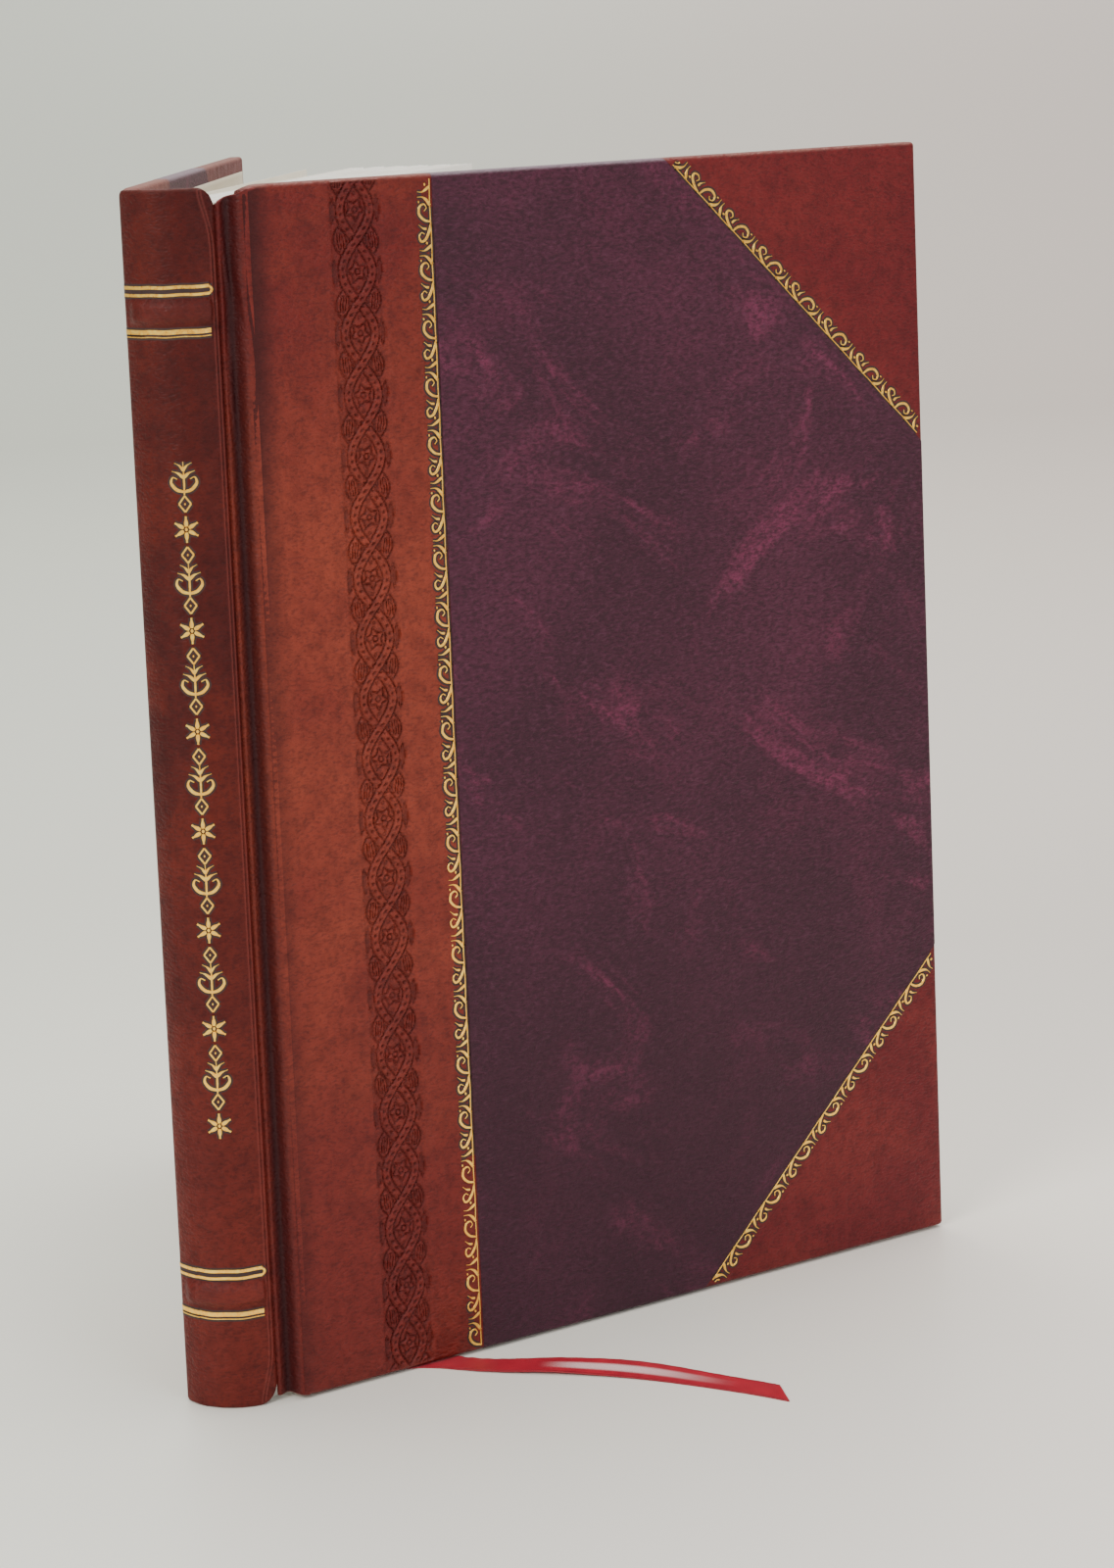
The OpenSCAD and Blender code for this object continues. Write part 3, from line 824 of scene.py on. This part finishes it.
def make_cover(body, side, placing, low):
    """One cover: its board, leather strip, cloth side and two leather corners."""
    board_us = np.linspace(BOARD_U + BOARD_INSET, EDGE_U - BOARD_INSET, 30)
    board = loop_mesh(slab_columns(board_us, low, inset=BOARD_INSET), board_ring)
    register(solid(side + "_millboard", board, MILLBOARD, placing), body, "board_grey", side + "_board")
    strip = loop_mesh(slab_columns(strip_us, low), strip_ring, strip_relief, strip_tooling_and_shade)
    leather = solid(side + "_board_leather", strip, BOARD_LEATHER, placing)
    register(leather, body, "cover_leather", side + "_leather")
    board_box = (0, COVER_W_IN + FLAP, low + SKIN), (EDGE_U - SKIN, COVER_W_OUT - SKIN, COVER_H - SKIN)
    window = (0, COVER_W_IN - 1, low + TURN_IN), (EDGE_U - TURN_IN, COVER_W_IN + 1, COVER_H - TURN_IN)
    lines = {
        "head": ((EDGE_U - CORNER_LEG, 0, COVER_H), Vector((1, 0, 1)).normalized()),
        "tail": ((EDGE_U - CORNER_LEG, 0, low), Vector((1, 0, -1)).normalized()),
    }
    side_us = np.linspace(STRIP_U, EDGE_U - EDGE_R, 54)
    part = loop_mesh(slab_columns(side_us, low, CLOTH_RISE, True), slab_ring)
    cloth = solid(side + "_cloth_side", part, CLOTH)
    for point, normal in lines.values():
        cut(cloth, point, normal)
    pieces = [(cloth, "cloth", "cover_cloth")]
    for end, (point, normal) in lines.items():
        corner_us = np.linspace(EDGE_U - CORNER_LEG - 2, EDGE_U - EDGE_R, 32)
        part = loop_mesh(slab_columns(corner_us, low, 0, True), slab_ring)
        corner = solid(f"{side}_corner_{end}_leather", part, CORNER_LEATHER)
        pieces.append((cut(corner, point, -normal), "corner_" + end, "cover_leather"))
    for obj, node, slot in pieces:
        place(hollow(obj, (board_box, window)), placing)
        sharpen(obj, 50)
        register(obj, body, slot, f"{side}_{node}")


# ---------- spine ----------


def spine_half():
    """Outer outline of the spine's right half in plan, from crown to past the ridge, with its normals."""
    xs = np.concatenate([np.linspace(0, 6.0, 16), [6.2, 6.4, 6.6]])
    arc = np.stack([xs, SPINE_C[1] - np.sqrt(SPINE_R**2 - xs**2)], 1)
    angles = np.radians(np.linspace(-66, 12, 9))
    bead = front_axis[:2] + BEAD_R * np.stack([np.cos(angles), np.sin(angles)], 1)
    outline = spline(np.vstack([arc, bead]), 3)
    tangent = unit(np.gradient(outline, axis=0))
    return outline, np.stack([tangent[:, 1], -tangent[:, 0]], 1)


half_line, half_normal = spine_half()
mirror = np.array([-1, 1])
spine_line = np.vstack([(half_line * mirror)[::-1][:-1], half_line])
spine_normal = np.vstack([(half_normal * mirror)[::-1][:-1], half_normal])
spine_s = run_length(spine_line)
spine_s -= spine_s[len(spine_s) // 2]
# The part of the right half's outline along which x still grows.
OUTWARD = int(len(half_line) * 0.8)
half_s = spine_s[-len(half_line):]
RIDGE_S = float(np.interp(front_axis[0] + 0.55, half_line[:OUTWARD, 0], half_s[:OUTWARD]))
SHOULDER = 3.0


def band_rise(z):
    """Height of the leather over the raised bands."""
    return sum(BAND_RISE * (1 - smooth(np.abs(z - b), BAND_W * 0.2, BAND_W * 0.66)) for b in BAND_Z)


def crease(s, z):
    """Two fine raised lines along the joint's ridge, which lean in round the shoulders at head and tail."""
    end = np.minimum(z, COVER_H - z)
    lean = 1.9 * (1 - smooth(end, 0, 13)) ** 2
    lines = [bell(s - RIDGE_S + lean + off, 0.17) for off in (0.62, 0.0)]
    return np.maximum(*lines)


def spine_surface(s, z):
    """How far the leather stands over the plain outline at arc length s and height z."""
    fade = 1 - smooth(np.abs(s), RIDGE_S - 1.6, RIDGE_S - 0.4)
    return band_rise(z) * fade + 0.13 * crease(s, z) - 0.3 * smooth(-s, 6.1, 7.1)


def spine_top(x):
    """How far the spine's head drops towards the front joint's shoulder."""
    t = np.clip((x - 4.6) / 2.7, 0, 1)
    return SHOULDER * (1 - math.sqrt(1 - t * t * 0.98)) / 0.86


def make_spine():
    tops = [spine_top(p[0]) for p in spine_line]
    columns = [(p, n, 1.0, 0.48, t, COVER_H - t) for p, n, t in zip(spine_line, spine_normal, tops)]
    template = ring(np.linspace(0, 1, 420), inner_face(60), edge=1)
    points, count = template
    part = loop_mesh(columns, template)
    rows, cols = len(columns), len(points)
    verts = part[0].reshape(rows, cols, 3)
    marks = part[2].reshape(rows, cols)
    s = np.repeat(spine_s[:, None], count, 1)
    z = verts[:, :count, 2]
    verts[:, :count, :2] += spine_normal[:, None] * spine_surface(s, z)[..., None]
    # Tool marks: painted shade in the groove inside the ridge and round the feet of the bands. Negative
    # marks lighten the crease lines and band tops, partly as painted highlight and partly as rubbed wear.
    groove = 0.25 * (1 - smooth(np.abs(s - RIDGE_S + 0.31), 0.0, 0.5))
    foot = sum(0.4 * bell(np.abs(z - b) - BAND_W * 0.72, 0.6) for b in BAND_Z)
    marks[:, :count] = groove + foot - 0.8 * crease(s, z) - 0.22 * band_rise(z)
    part = (verts.reshape(-1, 3), part[1], marks.ravel())
    obj = solid("spine_leather_skin", part, SPINE_LEATHER, sharp=60)
    outward(obj)
    register(obj, "spine", "spine_leather", "spine_leather")


# Where a joint's leather ends on its board.
JOINT_END = (5.9, COVER_W_OUT + 0.03)


def joint_outline(side):
    """Plan points of a joint's outer face in its cover's own directions, from the bead to the board."""
    if side == "front":
        start = math.radians(90 - front_open - 18)
        first = BEAD_R * 0.96 * np.array([math.cos(start), math.sin(start)])
        groove = [(1.35, 0.62), (2.1, 0.42), (2.9, 0.30), (3.35, 0.55), (3.62, 1.2), (3.85, 2.0)]
        return [first, *groove, (4.25, 2.72), (4.95, 3.08), JOINT_END]
    over = [spine_arc(x) - back_axis[:2] for x in (-5.0, -5.4, -5.9, -6.4, -6.9, -7.5, -8.1, -8.6)]
    over = [(p[1], -p[0]) for p in over]
    groove = [(1.5, 2.58), (2.2, 2.72), (2.9, 2.6), (3.5, 2.45), (4.1, 2.6), (4.8, 2.95)]
    return [*over, *groove, JOINT_END]


def spine_arc(x):
    return np.array([x, SPINE_C[1] - math.sqrt(SPINE_R**2 - x * x)])


def make_joint(side, placing, low, material):
    """The leather that crosses a joint, from the spine down into the groove and up onto the board."""
    line = spline(joint_outline(side), 5)
    normal = left_of(line)
    columns = []
    for p, n in zip(line, normal):
        drop = notch(p[0]) + 0.06
        if side == "back":
            drop = drop * smooth(p[0], 0.8, 3.2) + 0.06
        thick = 0.62 - 0.34 * smooth(p[0], 3.2, 5.2) - 0.3 * (1 - smooth(p[0], -1.85, -0.6))
        foot = low * smooth(p[0], 1.0, 3.5) + FOOT_SHARE * drop + 0.05
        columns.append((p, n, thick, thick * 0.45, foot, COVER_H - drop))

    # Tool marks: painted shade along the joint's groove, faint on the back joint.
    def dark(point, z):
        u = point[..., 0]
        depth = bell(u - 3.0, 1.5) if side == "front" else 0.35 * bell(u - 3.4, 0.9)
        return np.broadcast_to(1.38 * depth, z.shape)

    def lie(point, z):
        """Starts under the spine's leather and comes up over it, with fine ripples across the joint."""
        u = point[..., 0]
        if side == "back":
            band = 0.98 * band_rise(z) * (1 - smooth(u, -1.1, 0.7))
            return band + 0.03 - 0.10 * (1 - smooth(u, -1.85, -1.15))
        ripple = np.sin(z * 4.9 + 2.2 * np.sin(z * 0.37 + u)) * bell(u - 3.9, 1.4)
        creased = bell(COVER_H - 24 - z, 20) * smooth(u, 0.9, 1.8)
        folds = np.sin(3.6 * u + 2.0 * np.sin(z * 0.21 + 0.6 * u) + 0.09 * z)
        return 0.035 * ripple + 0.10 * folds * creased

    part = loop_mesh(columns, ring(np.linspace(0, 1, 620), inner_face(60), arc=3, edge=1), lie, dark)
    obj = solid(side + "_joint_leather", part, material, placing, 60)
    bend(obj, placing, JOINT_BEND[side])


# Where across the cover each piece over a joint would begin to bend and stop.
JOINT_BEND = {"front": (0.9, 3.0), "back": (-0.6, 2.6)}
PAPER_BEND = {"front": (-0.5, 2.4), "back": (0.4, 3.4)}


def bend(obj, placing, places):
    """Bakes a piece's transform into its mesh; where it would begin and stop bending is worked out but not
    used.
    """
    at_start, at_end = (tuple(placing(np.array([u, 0, 0])) * MM) for u in places)
    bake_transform(obj)
    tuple(at_start)
    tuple(at_end)


# ---------- gilt tooling ----------


def tapered(points, width, head=1.0, tail=0.35, steps=5):
    """A stroke: a smooth line through the points, with its width at every point."""
    line = spline(points, steps)
    share = np.linspace(0, 1, len(line))
    swell = 0.55 + 0.45 * np.sin(math.pi * np.clip(share * 1.1 + 0.12, 0, 1))
    return line, width * (head + (tail - head) * share) * swell


def dot(a, b, size=0.55):
    line = np.array([(a, b - size * 0.45), (a, b), (a, b + size * 0.45)])
    return line, np.array([size * 0.5, size, size * 0.5])


SCROLL = 10.3


def scroll(length):
    """Strokes of a running scroll of leaves and curls, a across from its base line and b along it."""
    along = np.linspace(0, length, int(length / 0.8))
    base = 0.38 + 0.04 * np.sin(2 * math.pi * along / SCROLL)
    lines = [(np.stack([base, along], 1), np.full(len(along), 0.32))]
    curl = [(0.4, 0.1), (1.7, 0.5), (2.65, 1.6), (2.45, 2.9), (1.6, 3.25), (1.15, 2.6), (1.6, 2.05)]
    back_curl = [(0.4, 10.0), (0.75, 8.7), (1.5, 7.4), (2.4, 7.05), (2.8, 7.9), (2.3, 8.6), (1.7, 8.3)]
    motif = [
        tapered(curl, 0.66, 1.0, 0.75),
        tapered([(0.4, 3.0), (1.1, 4.0), (1.9, 4.5), (2.9, 4.55)], 0.84),
        tapered([(0.4, 6.3), (1.2, 5.75), (2.0, 5.4), (2.85, 5.5)], 0.78),
        tapered(back_curl, 0.66, 1.0, 0.75),
        tapered([(1.3, 9.2), (2.0, 9.35), (2.85, 10.0)], 0.7),
        dot(1.3, 6.7, 0.55),
        dot(2.65, 3.7, 0.45),
    ]
    for k in range(int(length / SCROLL + 0.5)):
        for line, width in motif:
            moved = line + np.array([0, k * SCROLL])
            if moved[:, 1].max() < length:
                lines.append((moved, width))
    return lines


def clipped(lines, inside):
    """The runs of each stroke that lie inside."""
    kept = []
    for line, width in lines:
        good = inside(line)
        start = None
        for k in range(len(line) + 1):
            here = k < len(line) and good[k]
            if here and start is None:
                start = k
            if not here and start is not None:
                if k - start > 2:
                    kept.append((line[start:k], width[start:k]))
                start = None
    return kept


def stroke_mesh(lines, surface, height, grow=0.0, sink=0.08, bevel=0.09):
    """Raised strokes on a surface: surface(points, lift) gives the place of a stroke's points."""
    parts = []
    for line, width in lines:
        side = left_of(line)
        half = (width / 2 + grow)[:, None]
        flat = np.maximum(half - bevel, half * 0.45)
        cross = [(-half, -sink), (-flat, height), (flat, height), (half, -sink)]
        verts = np.stack([surface(line + side * reach, lift) for reach, lift in cross], 1)
        parts.append((verts.reshape(-1, 3), tube_faces(len(line), 4), np.zeros(len(line) * 4)))
    return joined(parts)


# Each kind's material, height over the leather and growth on both sides.
GILDING = (("gilt", GILT, 0.07, 0.0), ("pressed_edge", PRESSED_AND_SHADE, 0.012, 0.38))


def gild(name, lines, surface, body, placing=None):
    """Gold strokes and the dark pressed edge round them, which is partly painted shade, on a body or,
    without one, over the back joint.
    """
    for kind, material, height, grow in GILDING:
        part = stroke_mesh(lines, surface, height, grow)
        obj = solid(f"{name}_{kind}", part, material, placing, 35)
        outward(obj)
        if body is None:
            bend(obj, placing, JOINT_BEND["back"])
        else:
            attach(obj, body)


def gild_cover(body, side, placing, low):
    """The scroll beside the cloth on the leather strip and on both corners."""
    root = math.sqrt(0.5)
    length = CORNER_LEG / root

    def on_face(u, z, lift):
        return np.stack([u, np.full_like(u, COVER_W_OUT + lift), z], -1)

    def strip_surface(p, lift):
        return on_face(STRIP_U - 0.12 - p[:, 0], p[:, 1] + low + 0.9, lift)

    def on_corner(p):
        return (p[:, 1] - p[:, 0] > 1.3) & (p[:, 1] + p[:, 0] < length - 1.3)

    gild(side + "_strip", scroll(COVER_H - low - 1.8), strip_surface, body, placing)
    for end, base, sign in (("head", COVER_H, -1), ("tail", low, 1)):
        def corner_surface(p, lift, base=base, sign=sign):
            u = EDGE_U - CORNER_LEG + root * (p[:, 1] + p[:, 0] + 0.12)
            return on_face(u, base + sign * root * (p[:, 1] - p[:, 0] - 0.12), lift)

        gild(f"{side}_corner_{end}", clipped(scroll(length), on_corner), corner_surface, body, placing)


def flower(z):
    petals = []
    for k in range(6):
        a = k * math.pi / 3
        way = np.array([math.sin(a), math.cos(a)])
        petals.append(tapered([way * r + (0, z) for r in (0.5, 1.0, 1.6, 2.3)], 1.05, 0.8, 0.8))
    return petals + [dot(0, z, 0.7)]


def spray(z):
    lines = [tapered([(0, z - 2.9), (0.05, z), (0, z + 2.9)], 0.5, 1, 1)]
    for side in (-1, 1):
        curl = [(0, z - 2.3), (side * 1.3, z - 1.9), (side * 2.2, z - 0.8), (side * 1.9, z + 0.2)]
        lines.append(tapered([*curl, (side * 1.1, z - 0.1)], 0.8, 1, 0.7))
        lines.append(tapered([(0, z + 0.1), (side * 0.9, z + 0.9), (side * 2.0, z + 1.3)], 0.85))
        lines.append(tapered([(0, z + 1.3), (side * 0.6, z + 2.2), (side * 1.5, z + 2.7)], 0.7))
    return lines


def lozenge(z):
    corners = [(0, z - 1.4), (1.05, z), (0, z + 1.4), (-1.05, z), (0, z - 1.4), (1.05, z)]
    sides = []
    for a, b in zip(corners, corners[1:5]):
        line = np.linspace(a, b, 5)
        sides.append((line, np.full(5, 0.44)))
    return sides + [dot(0, z, 0.45)]


# Lowest and highest place of the ornaments between the bands, and how many there are.
ORNAMENTS = (47.5, 171.0, 14)


def band_lines(b):
    """Heights from a band's middle, and widths, of the gold lines above and below it."""
    under = -3.3 if b > COVER_H / 2 else -3.6
    return ((4.3, 0.72), (3.0, 0.66), (under, 0.95), (under - 0.85, 0.32))


def read_along(at, places, values):
    """Both columns of values, at some places along a line."""
    return [np.interp(at, places, values[:, k]) for k in (0, 1)]


def make_spine_gilt():
    """Lines beside the raised bands, which run on over the back joint, and ornaments between the bands."""

    def surface(p, lift):
        x, y = read_along(p[:, 0], spine_s, spine_line)
        nx, ny = read_along(p[:, 0], spine_s, spine_normal)
        out = spine_surface(p[:, 0], p[:, 1]) + lift
        return np.stack([x + nx * out, y + ny * out, p[:, 1]], -1)

    first, last = -5.85, RIDGE_S - 1.25
    lines = []
    for b in BAND_Z:
        s = np.linspace(first, last, 40)
        wobble = 0.05 * np.sin(s * 1.1 + b)
        for off, width in band_lines(b):
            lines.append((np.stack([s, b + off + wobble], 1), np.full(len(s), width)))
        t = np.linspace(-1, 1, 9)
        lines.append((np.stack([last + 0.45 * (1 - t**2), b + 3.65 + 0.65 * t], 1), np.full(9, 0.55)))
    low, high, count = ORNAMENTS
    pitch = (high - low) / count
    for k in range(count):
        z = low + (k + 0.5) * pitch
        lines += spray(z) if k % 2 else flower(z)
        if k:
            lines += lozenge(low + k * pitch)
    gild("spine", lines, surface, "spine")
    outline = spline(joint_outline("back"), 5)
    outline = outline[(outline[:, 0] > -1.55) & (outline[:, 0] < 1.9)]
    reach = run_length(outline)
    tangent = unit(np.gradient(outline, axis=0))

    def shoulder(p, lift):
        x, y = read_along(p[:, 0], reach, outline)
        way = read_along(p[:, 0], reach, tangent)
        lift = lift + 0.05
        return np.stack([x - way[1] * lift, y + way[0] * lift, p[:, 1]], -1)

    lines = []
    for b in BAND_Z:
        s = np.linspace(0, reach[-1], 14)
        for off, width in band_lines(b):
            lines.append((np.stack([s, np.full(14, b + off)], 1), np.full(14, width)))
    gild("back_joint", lines, shoulder, None, back_place)


# ---------- leaves, end bands and endpapers ----------

LEAF_LOW, LEAF_HIGH = (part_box("gathering_1")[k].z / MM for k in (0, 1))
LEAF_LENGTH = 144.2
sheet_ring = ring(np.linspace(0, 1, 12), inner_face(8), arc=1, edge=1)


def sheet_columns(line, thick, low, high):
    """Columns of a thin sheet along a line in plan."""
    normal = left_of(line)
    middle = line + normal * thick / 2
    return [(p, n, thick, thick * 0.3, a, b) for p, n, a, b in zip(middle, normal, low, high)]


def leaf_edges(point, z):
    """Toning along a leaf's edges."""
    return 0.5 * (1 - smooth(np.minimum(z - LEAF_LOW, LEAF_HIGH - z), 0, 4))


def leaf_frame(name):
    """Fold line and direction at rest of a leaf or gathering."""
    joint = joints[name + "_fold"]
    angle = math.radians(90 - joint["range_deg"][1])
    along = np.array([math.cos(angle), math.sin(angle)])
    return np.array(joint["pos_m"][:2]) / MM, along, np.array([-along[1], along[0]])


def make_gathering(name, sheets=7):
    """A sewn section: folded sheets one inside the other, with slightly uneven edges."""
    fold, along, across = leaf_frame(name)
    parts = []
    for k in range(sheets):
        share = (k + 0.5) / sheets
        trim = rng.uniform(-0.25, 0.05, 2)
        bow = rng.uniform(-0.05, 0.05, 2)
        heights = rng.uniform(-0.22, 0.0, 4)
        s = np.concatenate([[0.0], np.geomspace(2.0, 1.0 * LEAF_LENGTH, 15)])
        spread = rng.uniform(0.7, 1.35)
        half = (0.50 + 0.22 * smooth(s, 0, 22) + spread * smooth(s, 10, 190)) * share
        left = fold + along * s[:, None] + across * (half + bow[0] * np.sin(s / 40) * share)[:, None]
        right = fold + along * s[:, None] - across * (half + bow[1] * np.sin(s / 40) * share)[:, None]
        left[-1] += along * trim[0]
        right[-1] += along * trim[1]
        turn = np.radians(np.linspace(0, 180, 7)[1:-1])
        round_fold = fold + half[0] * (across * np.cos(turn)[:, None] - along * np.sin(turn)[:, None])
        line = np.vstack([left[::-1], round_fold, right])
        side = np.linspace(0, 1, len(line))
        low = LEAF_LOW - heights[0] * (1 - side) - heights[1] * side
        high = LEAF_HIGH + heights[2] * (1 - side) + heights[3] * side
        parts.append(loop_mesh(sheet_columns(line, 0.09, low, high), sheet_ring, None, leaf_edges))
    obj = solid(name + "_sheets", joined(parts), LEAF_PAPER, lambda p: p, 60)
    register(obj, name, "leaf_paper", name)
    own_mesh(obj)


def make_flyleaf(name):
    fold, along, across = leaf_frame(name)
    s = np.concatenate([[0.0, 0.5, 1.0, 2.0, 3.0, 4.5, 6.5], np.linspace(9, LEAF_LENGTH, 28)])
    wave = 0.25 * np.sin(s / 26) * smooth(s, 5, 60)
    clear = 0.3 if name == "front_flyleaf" else -0.3
    wave = wave + clear * smooth(s, 0, 1) * (1 - smooth(s, 4, 12))
    line = fold + along * s[:, None] + across * wave[:, None]
    drop = 0.15 * np.sin(s / 50)
    columns = sheet_columns(line, 0.18, LEAF_LOW + drop, LEAF_HIGH - drop)
    part = loop_mesh(columns, sheet_ring, None, leaf_edges)
    obj = solid(name + "_sheet", part, ENDPAPER, lambda p: p, 60)
    register(obj, name, "endpaper", name)


def make_pastedown(side, body, placing, low):
    """The endpaper glued inside a cover; the edges of the turn-ins show through it."""
    z0, z1 = paste_low[2], paste_high[2]
    u0, u1 = paste_low[1] - back_axis[1], paste_high[1] - back_axis[1]

    def window(u, z):
        head = smooth(COVER_H - TURN_IN - z, -0.4, 1.0) * smooth(z - low - TURN_IN, -0.4, 1.0)
        return head * smooth(EDGE_U - TURN_IN - u, -0.4, 1.0)

    def sink(point, z):
        return -0.26 * window(point[..., 0], z)

    def shade(point, z):
        share = window(point[..., 0], z)
        rim = np.minimum(np.minimum(z - z0, z1 - z), u1 - point[..., 0])
        return 0.6 * share * (1 - share) * 4 * 0.5 + 0.4 * (1 - smooth(rim, 0, 3))

    at_turn_in = np.linspace(u1 - 13.5, u1 - 9.5, 12)
    us = np.concatenate([np.linspace(u0, u1 - 14, 34), at_turn_in, np.linspace(u1 - 8, u1, 6)])
    columns = [((u, COVER_W_IN - 0.23), (0, -1), 0.21, 0.06, z0, z1) for u in us]
    template = ring(np.linspace(0, 1, 240), inner_face(60), arc=1, edge=1)
    part = loop_mesh(columns, template, sink, shade)
    obj = solid(side + "_pasted_endpaper", part, ENDPAPER, placing, 60)
    register(obj, body, "endpaper", side + "_pastedown")


def make_hinge_paper(side, placing, points):
    """The fold of the endpaper inside a joint, from the flyleaf's foot to the pasted sheet."""
    line = spline(points, 5)
    low = np.full(len(line), paste_low[2] + 0.2)
    part = loop_mesh(sheet_columns(line, 0.16, low, COVER_H - low), sheet_ring, None, leaf_edges)
    obj = solid(side + "_endpaper_fold", part, ENDPAPER, placing, 60)
    bend(obj, placing, PAPER_BEND[side])


# Width of one turn of thread.
THREAD = 0.36


def make_end_band(name, z, up):
    """A sewn end band: a round core wound with thread in two colours, on its tape."""
    reach, radius = 8.45, 0.62
    half = math.radians(34)
    steps = 260
    angles = -math.pi / 2 + np.linspace(-half, half, steps)
    out = np.stack([np.cos(angles), np.sin(angles)], 1)
    s = (angles - angles[0]) * reach
    turns = np.linspace(0, 2 * math.pi, 13)[:-1]

    def wound(middle, way, r, height, stripes):
        """A tube of radius r round a line, with way as its first direction."""
        rows = []
        for t in turns:
            flat = middle + way * (r * math.cos(t))[:, None]
            rows.append(np.concatenate([flat, (height + r * math.sin(t))[:, None]], 1))
        verts = np.stack(rows, 1).reshape(-1, 3)
        return verts, tube_faces(steps, len(turns)), np.repeat(stripes, len(turns))

    r = radius + 0.07 * np.abs(np.sin(math.pi * s / THREAD))
    centre = SPINE_C + out * reach
    stripes = smooth(np.sin(math.pi * s / 1.08), -0.2, 0.2)
    parts = [wound(centre, out, r, z, stripes)]
    bead_at = centre - out * (radius * 0.9)
    bead_r = 0.2 + 0.05 * np.abs(np.sin(math.pi * s / THREAD + 0.8))
    parts.append(wound(bead_at, -out, bead_r, z - up * 0.5, 1 - stripes))
    tape = SPINE_C + out[::13] * 9.24
    low = np.full(len(tape), z - 7.2 if up > 0 else z - 0.4)
    columns = [(p, n, 0.22, 0.05, a, a + 7.6) for p, n, a in zip(tape, out[::13], low)]
    parts.append(loop_mesh(columns, sheet_ring))
    obj = solid(name + "_sewn", joined(parts), END_BAND, lambda p: p, 60)
    register(obj, "spine", "end_band_silk", name)


# ---------- making it all ----------

for side, body, placing, low in (
    ("front", "front_cover", front_place, ribbon_lift), ("back", "back_cover", back_place, 0.0)
):
    make_cover(body, side, placing, low)
    make_joint(side, placing, low, BOARD_LEATHER if side == "front" else SPINE_LEATHER)
    gild_cover(body, side, placing, low)
    make_pastedown(side, body, placing, low)
make_spine()
make_spine_gilt()
for k in range(1, 7):
    make_gathering(f"gathering_{k}")
make_flyleaf("front_flyleaf")
make_flyleaf("back_flyleaf")
front_fold = [(-0.2, -1.58), (0.39, -0.98), (1.56, -0.74), (2.6, -0.58), (3.6, -0.48), (4.6, -0.42)]
back_fold = [(1.7, -1.2), (2.3, -1.1), (3.2, -0.7), (4.0, -0.45), (4.8, -0.4)]
make_hinge_paper("front", front_place, front_fold)
make_hinge_paper("back", back_place, back_fold)
make_end_band("head_band", COVER_H - 2.15, 1)
make_end_band("tail_band", 2.15, -1)

for node, material in (
    ("spine_stiffener", MILLBOARD), ("raised_band_head", BAND_CARD), ("raised_band_tail", BAND_CARD),
    ("spine_lining_paper", LINING), ("spine_mull", MULL),
):
    carried = bpy.data.objects[node]
    carried.data.materials.clear()
    carried.data.materials.append(material)

# ---------- floor, backdrop and lights ----------


def make_stage():
    """A pale floor that sweeps up into a backdrop."""
    profile = [(-2.5, 0.0), (1.5, 0.0)]
    for a in np.radians(np.arange(10, 91, 10)):
        profile.append((1.5 + 0.5 * math.sin(a), 0.5 - 0.5 * math.cos(a)))
    profile += [(2.0, 3.0)]
    verts = [(x, y, z) for y, z in profile for x in (-3.0, 3.0)]
    faces = [(2 * k, 2 * k + 1, 2 * k + 3, 2 * k + 2) for k in range(len(profile) - 1)]
    sweep = make_object("backdrop", np.array(verts) / MM, faces)
    n = Nodes("backdrop")
    at = n.node("ShaderNodeTexCoord").outputs["Object"]
    across = n.axis(at, "X")
    # Painted shade: the upright backdrop takes darker tones than the floor.
    shaded_wall = n.mix(n.span(across, -0.3, 0.4), (0.69, 0.705, 0.605), (0.735, 0.65, 0.58))
    floor = n.mix(n.span(across, -0.3, 0.4), (0.87, 0.893, 0.78), (0.91, 0.815, 0.735))
    away = n.axis(at, "Y")
    pale = n.mix(n.span(away, 0.05, 0.4), floor, shaded_wall)
    n.finish(n.mix(n.span(n.noise(at, 2.0, 2), 0.3, 0.7, 0, 0.12), pale, (0.62, 0.61, 0.59)), 0.36)
    sweep.data.materials.append(n.material)


def area_light(name, place_at, aim, size, watts, tint):
    data = bpy.data.lights.new(name, "AREA")
    data.shape, data.size, data.size_y = "RECTANGLE", size[0], size[1]
    data.energy, data.color = watts, tint
    lamp = bpy.data.objects.new(name, data)
    lamp.location = place_at
    lamp.rotation_euler = (Vector(aim) - Vector(place_at)).to_track_quat("-Z", "Y").to_euler()
    bpy.context.scene.collection.objects.link(lamp)


# Name, place, aim, size, watts and tint of each light, in metres.
LIGHTS = (
    ("key", (-0.9, -1.3, 1.3), (0.05, 0.05, 0.1), (0.9, 0.9), 27, (1.0, 0.97, 0.93)),
    ("fill", (1.2, -1.2, 0.9), (0.05, 0.05, 0.1), (1.0, 1.0), 10, (0.95, 0.97, 1.0)),
    ("top", (0.1, 0.5, 1.7), (0.05, 0.25, 0.0), (1.6, 1.2), 34, (1, 1, 1)),
)


def make_lights():
    world = bpy.data.worlds.new("studio")
    bpy.context.scene.world = world
    world.use_nodes = True
    sky = world.node_tree.nodes["Background"].inputs
    sky[0].default_value = (0.86, 0.88, 0.92, 1)
    sky[1].default_value = 0.60
    for light in LIGHTS:
        area_light(*light)


make_stage()
make_lights()
